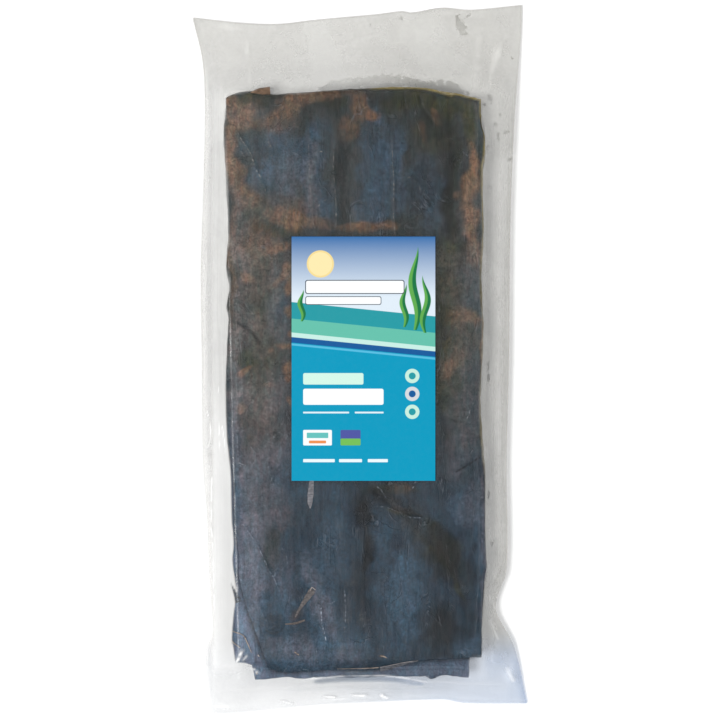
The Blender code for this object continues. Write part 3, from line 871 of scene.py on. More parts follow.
# Loose strips and torn ends that lie on the sheets: path and half widths in millimetres, depth under the
# top sheet's face (negative is above it), thickness, and how pale and how straw-coloured they are
scraps = (
    (((-32.9, -160.2), (-36.6, -165.4), (-41.3, -172.2), (-45.2, -179.2)), (2.2, 2.0, 1.0, 0.5), -0.45, 0.35, 0.15, 0.30),
    (((-30.9, -160.4), (-33.4, -158.6), (-34.9, -160.9)), (0.25, 0.3, 0.25), -0.75, 0.2, 0.80, 0.30),
    (((-38.5, -181.3), (-44.8, -183.4), (-52.2, -184.1)), (0.5, 0.8, 0.4), -0.35, 0.3, 0.13, 0.40),
    (((-33.6, -83.0), (-34.2, -91.0), (-34.8, -98.0), (-34.7, -103.8)), (1.5, 1.9, 1.9, 0.2), -0.45, 0.35, 0.40, 0.10),
    (((-76.0, 185.6), (-70.0, 187.2), (-62.6, 187.9)), (1.2, 2.5, 2.9), 0.7, 0.8, 0.04, 1.0),
    (((-84.6, -169.0), (-86.4, -164.0), (-89.9, -156.0)), (2.6, 1.6, 0.1), 1.4, 0.6, 0.06, 0.0),
    (((-92.0, -188.0), (-88.0, -189.4), (-81.5, -192.0), (-78.4, -197.5), (-75.6, -204.0)),
     (0.15, 0.28, 0.28, 0.3, 0.2), -0.35, 0.3, 0.75, 0.55),
    (((-91.0, -194.0), (-87.6, -197.6), (-83.2, -200.8)), (0.2, 0.3, 0.2), -0.35, 0.3, 0.8, 0.50),
    (((-16.0, -215.4), (-2.0, -215.2), (8.0, -214.8), (13.0, -214.4)), (0.15, 0.25, 0.35, 0.4), -0.5, 0.3, 0.45, 0.45),
    (((14.0, -215.6), (24.0, -213.4), (32.0, -211.4), (40.4, -209.8)), (1.8, 1.4, 0.7, 0.1), -0.5, 0.3, 0.18, 0.10),
    (((14.0, -214.4), (24.0, -212.2), (32.0, -210.6), (40.4, -209.4)), (0.2, 0.25, 0.25, 0.1), -0.7, 0.2, 0.55, 0.20),
    (((14.2, -206.2), (16.6, -206.6), (18.6, -207.6)), (0.2, 0.4, 0.2), -0.35, 0.3, 0.6, 0.6),
    (((-45.6, -203.4), (-42.6, -205.6)), (0.35, 0.3), -0.3, 0.3, 0.4, 0.6),
    (((-71.2, -205.4), (-70.2, -206.8)), (0.4, 0.35), -0.3, 0.3, 0.9, 0.2),
    (((-72.4, -218.0), (-71.8, -219.4)), (0.5, 0.4), 2.9, 0.3, 0.9, 0.3),
)


def scrapMaterial():
    material, tree, shader, _ = newMaterial("looseKelp")
    place = objectPlace(tree)
    field = lambda label: addNode(tree, "ShaderNodeAttribute", attribute_name=label).outputs["Fac"]
    grain = useGroup(tree, fibreGrain, {"Place": place, "Fibre Scale": 900.0, "Mottle Scale": 620.0,
                                        "Stretch": 0.8})
    across = noise(tree, objectPlace(tree, scale=(0.35, 1.0, 1.0)), 900.0, 3.0, 0.6)
    colour = tint(tree, field("straw"), (0.30, 0.30, 0.34), (0.46, 0.33, 0.19))
    dark = tint(tree, field("straw"), (0.026, 0.040, 0.056), (0.125, 0.075, 0.047))
    colour = tint(tree, field("light"), dark, colour)
    colour = scaled(tree, colour, ranged(tree, across, 0.35, 0.65, 0.55, 1.35))
    colour = scaled(tree, colour, ranged(tree, grain["Mottle"], 0.3, 0.7, 0.75, 1.2))
    feed(tree, shader.inputs["Base Color"], colour)
    feed(tree, shader.inputs["Roughness"], ranged(tree, grain["Mottle"], 0.3, 0.7, 0.40, 0.60))
    shader.inputs["Specular IOR Level"].default_value = 0.2
    bump = addNode(tree, "ShaderNodeBump", {"Height": grain["Height"], "Strength": 0.5, "Distance": 0.0003})
    feed(tree, shader.inputs["Normal"], bump.outputs[0])
    return material


def scrapStrip(path, halves, depth, thick):
    # corners of a tapering strip that follows the sheet under it, four to a step along the path
    path = np.array(path) * mm
    steps = 8 * (len(path) - 1)
    share = np.linspace(0, len(path) - 1, steps + 1)
    x, y = (follow(np.stack([np.arange(len(path)), path[:, axis]], 1), share) for axis in (0, 1))
    half = follow(np.stack([np.arange(len(path)), halves], 1), share) * mm
    half = half * (1 + 0.12 * cloud(x, y, 0.0015, 91, 2))
    run = np.stack([np.gradient(x), np.gradient(y)], 1)
    run /= np.linalg.norm(run, axis=1)[:, None]
    side = np.stack([-run[:, 1], run[:, 0]], 1) * half[:, None]
    corners = []
    for turn, lift in ((-1, 0), (1, 0), (1, 1), (-1, 1)):
        px, py = x + turn * side[:, 0], y + turn * side[:, 1]
        z = kelpRest(px, py) - depth * mm + (lift - 1) * thick * mm
        if depth < 0:
            z = z + np.minimum(kelpRelief(px, py)[0], 0.0004)
        corners.append(np.stack([px, py, z], 1))
    return np.stack(corners, 1).reshape(-1, 3), steps


def looseScraps(material):
    points, faces, light, straw = [], [], [], []
    for path, halves, depth, thick, lightness, strawness in scraps:
        start = sum(len(part) for part in points)
        corners, steps = scrapStrip(path, halves, depth, thick)
        points.append(corners)
        light.append(np.full(len(corners), lightness))
        straw.append(np.full(len(corners), strawness))
        for step in range(steps):
            for k in range(4):
                a, b = start + 4 * step + k, start + 4 * step + (k + 1) % 4
                faces.append((a, b, b + 4, a + 4))
        faces.append(tuple(start + k for k in range(4)))
        faces.append(tuple(start + 4 * steps + k for k in (3, 2, 1, 0)))
    return finish(meshOf("scraps", np.concatenate(points), faces, material,
                         {"light": np.concatenate(light), "straw": np.concatenate(straw)}), 30)


pieces["scraps"] = looseScraps(scrapMaterial())
print("scraps:", len(pieces["scraps"].data.polygons), "faces")

# The rest of the block: sheets folded in two, one pair on another
stack = {
    "Pairs": 7,
    "Sheet Thickness": 0.0014,
    "Pair Pitch": 0.00335,
    "Fold Radius": 0.0008,
    "Base Height": 0.0018,
    "Fold End": 0.1795,
    "Loose End": -0.2060,
    "Lower Longer": 0.0110,
    "Lower Narrower": 0.0090,
    "End Uneven": 0.0018,
    "Left At Bottom": -0.0825,
    "Left At Top": -0.0905,
    "Right": 0.0820,
    "Edge Uneven": 0.0016,
    "Ripple": 0.00028,
    "Seed": 7,
}


def geometryTree(name, sizes):
    tree = bpy.data.node_groups.new(name, "GeometryNodeTree")
    tree.interface.new_socket(name="Geometry", in_out="INPUT", socket_type="NodeSocketGeometry")
    tree.interface.new_socket(name="Geometry", in_out="OUTPUT", socket_type="NodeSocketGeometry")
    for label, value in sizes.items():
        kind = "NodeSocketInt" if isinstance(value, int) else "NodeSocketFloat"
        tree.interface.new_socket(name=label, in_out="INPUT", socket_type=kind)
    tree.interface.new_socket(name="Material", in_out="INPUT", socket_type="NodeSocketMaterial")
    return tree, tree.nodes.new("NodeGroupInput").outputs, tree.nodes.new("NodeGroupOutput").inputs


def grown(name, bed, tree, sizes, material):
    # runs the tree on a mesh and keeps its result as a plain mesh
    carrier = bpy.data.objects.new(name + "Bed", bed)
    bpy.context.scene.collection.objects.link(carrier)
    modifier = carrier.modifiers.new(name, "NODES")
    modifier.node_group = tree
    values = dict(sizes, Material=material)
    for item in tree.interface.items_tree:
        if item.in_out == "INPUT" and item.name in values:
            modifier[item.identifier] = values[item.name]
    graph = bpy.context.evaluated_depsgraph_get()
    mesh = bpy.data.meshes.new_from_object(carrier.evaluated_get(graph))
    mesh.name = name
    bpy.data.objects.remove(carrier)
    made = bpy.data.objects.new(name, mesh)
    bpy.context.scene.collection.objects.link(made)
    return made


def stackTree():
    tree, ins, outs = geometryTree("foldedStack", stack)
    sheet = addNode(tree, "GeometryNodeMeshGrid",
                    {"Size X": 1.0, "Size Y": 1.0, "Vertices X": 30, "Vertices Y": 70}).outputs["Mesh"]
    levels = addNode(tree, "GeometryNodeMeshLine", {"Count": ins["Pairs"], "Offset": (0.0, 0.0, 1.0)})
    copies = addNode(tree, "GeometryNodeInstanceOnPoints",
                     {"Points": levels.outputs[0], "Instance": sheet}).outputs[0]
    loose = addNode(tree, "GeometryNodeRealizeInstances", {"Geometry": copies}).outputs[0]
    spot = addNode(tree, "ShaderNodeSeparateXYZ", {"Vector": addNode(tree, "GeometryNodeInputPosition").outputs[0]})
    across = calc(tree, "ADD", spot.outputs["X"], 0.5)
    along = calc(tree, "ADD", spot.outputs["Y"], 0.5)
    level = calc(tree, "ROUND", spot.outputs["Z"])
    bend = 0.045  # share of a sheet's length on either side of its fold
    turned = ranged(tree, along, 0.5 - bend, 0.5 + bend)
    angle = calc(tree, "MULTIPLY", turned, math.pi)
    upper = calc(tree, "GREATER_THAN", along, 0.5)
    away = calc(tree, "ADD", ranged(tree, along, 0.5 - bend, 0.0), ranged(tree, along, 0.5 + bend, 1.0))
    leaf = calc(tree, "ADD", calc(tree, "MULTIPLY", level, 2.0), upper)

    def chance(of, extra):
        inputs = {2: -1.0, 3: 1.0, "ID": of, "Seed": calc(tree, "ADD", ins["Seed"], float(extra))}
        return addNode(tree, "FunctionNodeRandomValue", inputs, data_type="FLOAT").outputs[1]

    def waver(extra, amount):
        where = addNode(tree, "ShaderNodeCombineXYZ", {
            "X": calc(tree, "MULTIPLY", calc(tree, "SUBTRACT", away, float(extra)), 6.0),
            "Y": calc(tree, "MULTIPLY", leaf, 5.7), "Z": float(extra)}).outputs[0]
        return calc(tree, "MULTIPLY", calc(tree, "SUBTRACT", noise(tree, where, 1.0, 4.0, 0.6), 0.5), amount)

    twice = calc(tree, "MULTIPLY", ins["Edge Uneven"], 4.0)
    endY = calc(tree, "ADD", ins["Loose End"], calc(tree, "MULTIPLY", chance(leaf, 1), ins["End Uneven"]))
    lower = calc(tree, "SUBTRACT", 1.0, upper)
    endY = calc(tree, "SUBTRACT", endY, calc(tree, "MULTIPLY", lower, ins["Lower Longer"]))
    foldY = calc(tree, "ADD", ins["Fold End"], calc(tree, "MULTIPLY", chance(level, 2), ins["End Uneven"]))
    straight = calc(tree, "ADD", foldY, calc(tree, "MULTIPLY", away, calc(tree, "SUBTRACT", endY, foldY)))
    y = calc(tree, "ADD", straight, calc(tree, "MULTIPLY", ins["Fold Radius"], calc(tree, "SINE", angle)))
    lift = calc(tree, "MULTIPLY", ins["Fold Radius"], calc(tree, "SUBTRACT", 1.0, calc(tree, "COSINE", angle)))
    left = calc(tree, "ADD", ins["Left At Top"],
                calc(tree, "MULTIPLY", away, calc(tree, "SUBTRACT", ins["Left At Bottom"], ins["Left At Top"])))
    left = calc(tree, "ADD", left, calc(tree, "ADD", waver(3, twice),
                                        calc(tree, "MULTIPLY", chance(leaf, 5), ins["Edge Uneven"])))
    right = calc(tree, "ADD", ins["Right"], calc(tree, "ADD", waver(8, twice),
                                                 calc(tree, "MULTIPLY", chance(leaf, 6), ins["Edge Uneven"])))
    # lower halves narrow towards their loose end
    narrow = calc(tree, "MULTIPLY", calc(tree, "MULTIPLY", lower, ins["Lower Narrower"]), away)
    left, right = calc(tree, "ADD", left, narrow), calc(tree, "SUBTRACT", right, narrow)
    x = calc(tree, "ADD", left, calc(tree, "MULTIPLY", across, calc(tree, "SUBTRACT", right, left)))
    flat = addNode(tree, "ShaderNodeCombineXYZ", {"X": x, "Y": y}).outputs[0]
    ripple = calc(tree, "MULTIPLY", calc(tree, "SUBTRACT", noise(tree, flat, 22.0, 2.0), 0.5), ins["Ripple"])
    z = calc(tree, "ADD", calc(tree, "MULTIPLY", level, ins["Pair Pitch"]),
             calc(tree, "ADD", ins["Base Height"], calc(tree, "ADD", lift, ripple)))
    placed = addNode(tree, "GeometryNodeSetPosition", {
        "Geometry": loose, "Position": addNode(tree, "ShaderNodeCombineXYZ", {"X": x, "Y": y, "Z": z}).outputs[0]})
    skin = placed.outputs[0]
    raised = addNode(tree, "GeometryNodeExtrudeMesh",
                     {"Mesh": skin, "Offset Scale": ins["Sheet Thickness"], "Individual": False}).outputs[0]
    back = addNode(tree, "GeometryNodeFlipFaces", {"Mesh": skin}).outputs[0]
    both = addNode(tree, "GeometryNodeJoinGeometry")
    tree.links.new(raised, both.inputs[0])
    tree.links.new(back, both.inputs[0])
    closed = addNode(tree, "GeometryNodeMergeByDistance",
                     {"Geometry": both.outputs[0], "Distance": 0.00001}).outputs[0]
    real = addNode(tree, "GeometryNodeRealizeInstances", {"Geometry": closed}).outputs[0]
    named = addNode(tree, "GeometryNodeSetMaterial", {"Geometry": real, "Material": ins["Material"]}).outputs[0]
    feed(tree, outs["Geometry"], named)
    return tree


pieces["foldedStack"] = finish(grown("foldedStack", bpy.data.meshes.new("empty"), stackTree(), stack, lowerKelp), 60)
print("folded stack:", len(pieces["foldedStack"].data.polygons), "faces")

# Film

film = {
    "marginColumns": 30,
    "blockColumns": 92,
    "bottomRows": 50,
    "blockRows": 188,
    "topRows": 60,
    "edge": 0.0003,
    "seal": 0.0065,  # depth of the welded bands
    "gap": 0.00025,  # least room over the kelp
}

# Folds pressed into the loose film: path, half width and height in millimetres, how far the fold has
# turned white, partly stress-whitening and partly a painted glint, and how dark it looks with painted shade and a
# painted dark reflection
pleats = (
    (((-108.4, -33), (-105.4, -40.6), (-104.3, -49), (-104.6, -56), (-106, -62)), 0.55, 0.9, 0.75, 0.0),
    (((-107.3, -69), (-105.4, -75.6), (-103.6, -82.6), (-103.6, -105), (-103.9, -119), (-102.9, -133),
      (-102.2, -147), (-102.2, -161), (-101.8, -175), (-102.4, -192)), 0.60, 1.1, 0.80, 0.0),
    (((-99.2, -18), (-98, -23), (-96.4, -28)), 0.50, 0.7, 0.50, 0.0),
    (((-99, -38), (-98.4, -47.6), (-98.7, -54.6), (-97.8, -65)), 0.60, 1.0, 0.75, 0.0),
    (((-97.4, -41), (-95.9, -50.4), (-94.5, -57.4), (-93.9, -63), (-94.6, -70)), 0.70, 1.0, 0.75, 0.0),
    (((-108, -64), (-103, -67), (-99, -70), (-96, -76)), 1.80, -0.9, 0.0, 0.35),
    (((-101, -84), (-100.5, -110), (-99.5, -140)), 1.60, 0.5, 0.0, 0.06),
    (((-106, -85), (-106.3, -120), (-104.8, -160)), 0.90, 0.5, 0.12, 0.0),
    (((-101, 150), (-102, 80), (-103, 20)), 2.40, 0.5, 0.06, 0.0),
    (((-107, 90), (-108.5, 20), (-108.5, -25)), 0.60, 0.5, 0.22, 0.0),
    (((-96.8, 120), (-97.6, 60), (-98.4, 0)), 0.90, 0.5, 0.0, 0.12),
    (((89.5, 130), (88.8, 90), (89.3, 60)), 0.60, -0.5, 0.0, 0.28),
    (((90.5, 100), (92.5, 40), (91.8, -20), (92.5, -90)), 1.60, 0.5, 0.0, 0.16),
    (((99, 160), (97, 60), (96.5, -40), (97, -120)), 1.80, 0.6, 0.08, 0.0),
    (((103.6, 145), (103.8, 110), (103, 90)), 0.50, -0.5, 0.0, 0.45),
    (((102.4, 72), (102.6, 62)), 0.90, -0.5, 0.0, 0.40),
    (((98.6, -143), (97.1, -149.1), (95.1, -154.6), (93, -158)), 0.55, -0.9, 0.0, 0.85),
    (((88.5, -158), (91, -168), (95.7, -175)), 0.90, 0.8, 0.10, 0.25),
    (((90, -180), (93, -187), (97.4, -196)), 0.80, 0.7, 0.20, 0.0),
    (((93, -171), (100, -186), (107, -203)), 2.60, 0.9, 0.0, 0.22),
    (((102, -214), (105, -220), (108, -226)), 1.20, 0.6, 0.35, 0.0),
    (((-45, -225), (-36, -222.6), (-28, -221.7), (-14, -220.6), (17.5, -220.0), (30, -221.6), (42, -224),
      (58, -226.5)), 0.60, 1.2, 0.42, 0.0),
    (((-34, -225.4), (-24, -224.0), (-10.5, -223.0), (14, -222.8), (26, -223.8), (36, -225.6),
      (46, -227.0)), 1.10, -0.9, 0.0, 4.5),
    (((-82.0, -200.8), (-83.0, -204.5), (-86.8, -212.0)), 0.75, 0.6, 1.0, 0.0),
    (((-78.5, -203), (-79.5, -207), (-82, -210)), 0.45, 0.4, 0.5, 0.0),
    (((-82, -214), (-74, -215.5), (-70, -219.5)), 0.70, 0.5, 0.50, 0.0),
    (((-62, -229.5), (-40, -230.6), (-10, -230), (20, -231.4), (40, -229), (70, -230.5)), 1.40, 0.7, 0.10, 0.10),
    (((-26, -235.6), (-21, -236.0), (-16.5, -236.6)), 0.70, 0.8, 0.95, 0.0),
    (((-6.5, -234.9), (0, -235.2), (5, -235.0)), 0.80, 0.8, 0.95, 0.0),
    (((13.5, -233.4), (16, -235.6), (19.5, -237.2)), 0.70, 0.8, 0.95, 0.0),
    (((-56, -238.5), (-51, -240), (-46, -241.5)), 0.80, 0.6, 0.60, 0.0),
    (((-84, -203), (-92, -218), (-100, -236)), 1.60, 0.8, 0.18, 0.0),
    (((-88, -196), (-98, -206), (-104, -218)), 1.30, -0.7, 0.0, 0.16),
    (((-97, -212), (-93, -216), (-90, -222)), 1.20, 0.6, 0.12, 0.10),
    (((-80, 226), (-78, 210), (-77.5, 190)), 0.70, 0.6, 0.16, 0.0),
    (((-93, 186), (-101, 205), (-108, 228)), 2.00, 0.8, 0.0, 0.05),
    (((86, 184), (94, 206), (104, 232)), 2.20, 0.8, 0.08, 0.0),
    (((80, 186), (82, 212), (84, 236)), 2.60, -0.6, 0.08, 0.0),
    (((-50, 209), (-20, 218), (20, 230)), 1.60, 0.6, 0.05, 0.0),
    (((20, 196), (32, 214), (36, 236)), 2.60, 0.5, 0.0, 0.04),
)

# Where the film clings and looks wet, greyed with painted shade, as blots in millimetres
cling = (
    (71, 234, 3.2, 5.5, 35, 1.0), (68.5, 240, 2.0, 3.0, 0, 1.0), (75, 240.5, 2.4, 1.4, 60, 0.9),
    (-36.5, 198.2, 2.2, 0.7, 5, 1.0), (7, 235, 1.3, 1.0, 0, 0.8), (28.6, 239.6, 1.8, 1.4, 0, 0.9),
    (36, 236.5, 0.8, 1.0, 0, 0.8), (91.2, 182.5, 1.6, 2.4, 20, 1.0), (98, 172, 1.8, 1.3, -40, 0.9),
    (86, 178, 1.6, 1.0, 0, 0.8), (94.5, 164, 1.2, 3.2, 10, 0.9), (96.5, 156, 1.0, 4.5, 0, 1.0),
    (102.5, 159, 2.2, 0.9, 0, 0.9), (88.5, 147.5, 1.3, 1.3, 0, 0.9), (106.5, 211.5, 0.9, 0.9, 0, 1.0),
    (89.6, -4, 0.8, 3.2, 0, 0.9), (89.6, -12, 0.8, 2.6, 0, 0.9), (89.8, -94, 0.7, 3.8, 0, 0.9),
    (92.5, -128, 1.4, 2.4, -20, 0.7), (91, 120, 0.7, 2.0, 0, 0.7), (105, 140, 1.6, 0.5, 0, 0.5),
)


def zoneOf(count, sizes):
    stops = np.cumsum((0,) + sizes)
    index = np.clip(np.searchsorted(stops, count) - 1, 0, len(sizes) - 1)
    return index, (count - stops[index]) / np.array(sizes)[index]


def filmPlaces():
    across = (film["marginColumns"], film["blockColumns"], film["marginColumns"])
    along = (film["bottomRows"], film["blockRows"], film["topRows"])
    side, sideShare = zoneOf(np.arange(sum(across) + 1), across)
    end, endShare = zoneOf(np.arange(sum(along) + 1), along)
    middle = bag["length"] / 2 - bag["endInset"]
    stops = np.array((-middle, bag["blockBottom"], bag["blockTop"], middle))
    y = mixed(stops[end], stops[end + 1], endShare)[:, None] + 0 * sideShare
    stops = np.stack([leftEdge(y), blockLeft(y), bag["blockRight"] + 0 * y, rightEdge(y)])
    pick = np.broadcast_to(side, y.shape)[None]
    x = mixed(np.take_along_axis(stops, pick, 0)[0], np.take_along_axis(stops, pick + 1, 0)[0], sideShare)
    stops = np.stack([bottomEdge(x), bag["blockBottom"] + 0 * x, bag["blockTop"] + 0 * x, topEdge(x)])
    pick = np.broadcast_to(end[:, None], y.shape)[None]
    y = mixed(np.take_along_axis(stops, pick, 0)[0], np.take_along_axis(stops, pick + 1, 0)[0],
              endShare[:, None])
    return x, y


def filmWrinkles(x, y):
    # height of the loose film's folds before the block and seals hold them, their whiteness with painted glints, and
    # their painted darkness
    ridged = 0.5 - np.abs(cloud(x, y, 0.028, 61, 2))
    height = 0.9 * mm * ridged + 0.22 * mm * cloud(x, y, 0.012, 62, 2)
    streak = 0.7 * cloud(x, y * 0.05, 0.0050, 63, 1) + 0.9 * cloud(x + y * 0.02, y * 0.09, 0.0095, 64, 1)
    inSide = smooth((np.abs(x) - 0.083) / 0.008) * smooth((0.20 - np.abs(y)) / 0.03)
    height = mixed(height, 0.36 * mm * streak, inSide)
    whiteAndPaintedLight = np.zeros(x.shape)
    dark = np.zeros(x.shape)
    broken = np.clip(0.85 + 0.7 * cloud(x, y, 0.006, 66, 2), 0, 1)
    sway = 0.4 * mm * cloud(x, y, 0.012, 65, 2)
    for path, wide, high, whitenessAndGlint, paintedDarkness in pleats:
        away, _, share = alongPath(x + sway, y, path)
        fade = smooth(share / 0.15) * smooth((1 - share) / 0.15)
        crest = fade * np.exp(-((away / (wide * mm)) ** 2))
        height += high * mm * crest
        whiteAndPaintedLight = np.maximum(whiteAndPaintedLight, whitenessAndGlint * crest * broken)
        dark = np.maximum(dark, paintedDarkness * crest)
    return height, whiteAndPaintedLight, dark


def filmMaterial():
    material, tree, shader, output = newMaterial("clearFilm")
    place = objectPlace(tree)
    field = lambda name: addNode(tree, "ShaderNodeAttribute", attribute_name=name).outputs["Fac"]
    cloudy = noise(tree, place, 55.0, 5.0, 0.62, 0.5)
    fine = noise(tree, place, 420.0, 3.0, 0.6)
    drawn = noise(tree, objectPlace(tree, scale=(1.0, 0.035, 1.0)), 620.0, 3.0, 0.6)
    streak = calc(tree, "MULTIPLY", ranged(tree, drawn, 0.3, 0.7, -1.0, 1.0), field("drawn"))
    # patches where the two layers of film touch have crisp, ragged ends
    patch = ranged(tree, noise(tree, place, 14.0, 3.5, 0.45, 0.4), 0.485, 0.515)
    small = ranged(tree, noise(tree, place, 40.0, 3.0, 0.45, 0.3), 0.565, 0.590)
    wander = calc(tree, "MULTIPLY", calc(tree, "SUBTRACT", noise(tree, place, 330.0, 5.0, 0.62), 0.5), 4.5)
    wander = calc(tree, "MULTIPLY", wander, ranged(tree, field("wetAndShade"), 0.0, 0.15))
    # clinging film: clearer haze, greyed with painted shade
    wetAndShade = ranged(tree, calc(tree, "ADD", field("wetAndShade"), wander), 0.42, 0.58)
    uneven = calc(tree, "ADD", 1.0, calc(tree, "MULTIPLY", calc(tree, "SUBTRACT", patch, 0.5), 0.24))
    uneven = calc(tree, "ADD", uneven, calc(tree, "MULTIPLY", small, -0.07))
    uneven = calc(tree, "ADD", uneven, calc(tree, "MULTIPLY", streak, 0.14))
    uneven = calc(tree, "ADD", uneven, calc(tree, "MULTIPLY", wetAndShade, 0.34))
    # greyness of the film, partly painted shade
    greyAndShade = calc(tree, "MULTIPLY", field("greyAndShade"), uneven)
    drift = ranged(tree, cloudy, 0.30, 0.70, 0.88, 1.12)
    haze = calc(tree, "MULTIPLY", field("haze"), calc(tree, "MULTIPLY", drift, ranged(tree, fine, 0.3, 0.7, 0.96, 1.04)))
    haze = calc(tree, "MULTIPLY", haze, ranged(tree, wetAndShade, 0.0, 1.0, 1.0, 0.12))
    haze = calc(tree, "MULTIPLY", haze, ranged(tree, patch, 0.0, 1.0, 0.93, 1.07))
    haze = calc(tree, "MULTIPLY", haze, ranged(tree, small, 0.0, 1.0, 1.02, 0.94))
    haze = calc(tree, "MULTIPLY", haze, calc(tree, "ADD", 1.0, calc(tree, "MULTIPLY", streak, 0.17)))
    # whitened folds, painted glints and painted light thicken and whiten the haze
    haze = calc(tree, "ADD", haze, field("whiteAndPaintedLight"), clamp=True)
    # painted cool light tints the film bluer towards the bottom
    base = tint(tree, field("coolLight"), (0.88, 0.87, 0.84), (0.93, 0.95, 0.985))
    feed(tree, shader.inputs["Base Color"], tint(tree, field("whiteAndPaintedLight"), base, (1.0, 1.0, 1.0)))
    feed(tree, shader.inputs["Roughness"], ranged(tree, cloudy, 0.3, 0.7, 0.42, 0.62))
    shader.inputs["Specular IOR Level"].default_value = 0.2
    wrinkle = noise(tree, objectPlace(tree, scale=(1.0, 0.45, 1.0)), 150.0, 1.5, 0.5, 0.6)
    bump = addNode(tree, "ShaderNodeBump", {"Height": wrinkle, "Strength": 0.12, "Distance": 0.0003}).outputs[0]
    feed(tree, shader.inputs["Normal"], bump)
    dim = tint(tree, field("coolLight"), (0.72, 0.713, 0.690), (0.668, 0.728, 0.818))
    clear = addNode(tree, "ShaderNodeBsdfTransparent")
    feed(tree, clear.inputs["Color"], tint(tree, calc(tree, "MULTIPLY", greyAndShade, 0.70, clamp=True), (0.99, 0.99, 0.99), dim))
    gloss = addNode(tree, "ShaderNodeBsdfGlossy", {"Color": (1.0, 1.0, 1.0, 1.0), "Normal": bump})
    feed(tree, gloss.inputs["Roughness"], ranged(tree, fine, 0.3, 0.7, 0.10, 0.20))
    facing = addNode(tree, "ShaderNodeLayerWeight", {"Blend": 0.5, "Normal": bump}).outputs["Facing"]
    # glints come and go along a fold
    glint = ranged(tree, noise(tree, place, 75.0, 4.0, 0.6), 0.42, 0.62, 0.0045, 0.013)
    sheen = calc(tree, "ADD", glint, calc(tree, "MULTIPLY", calc(tree, "POWER", facing, 3.0), 0.42))
    veil = addNode(tree, "ShaderNodeMixShader", {"Fac": haze})
    tree.links.new(clear.outputs[0], veil.inputs[1])
    tree.links.new(shader.outputs[0], veil.inputs[2])
    coat = addNode(tree, "ShaderNodeMixShader", {"Fac": sheen})
    tree.links.new(veil.outputs[0], coat.inputs[1])
    tree.links.new(gloss.outputs[0], coat.inputs[2])
    tree.links.new(coat.outputs[0], output.inputs["Surface"])
    return material


def onKelp(x, y):
    # 1 where the film lies on a sheet, 0 beside them all
    within = np.full(x.shape, -1.0)
    for sheet in (kelp, *underSheets.values()):
        left, right, bottom, top = (np.array(sheet[side]) * mm for side in ("left", "right", "bottom", "top"))
        rims = (x - follow(left, y), follow(right, y) - x, y - follow(bottom, x), follow(top, x) - y)
        within = np.maximum(within, np.minimum.reduce(rims))
    for path, halves, depth, *_ in scraps:
        if depth > 0:
            away, _, share = alongPath(x, y, path)
            half = np.interp(share, np.linspace(0, 1, len(halves)), halves) * mm
            within = np.maximum(within, half - away)
    return smooth((within + 0.0006) / 0.0016)


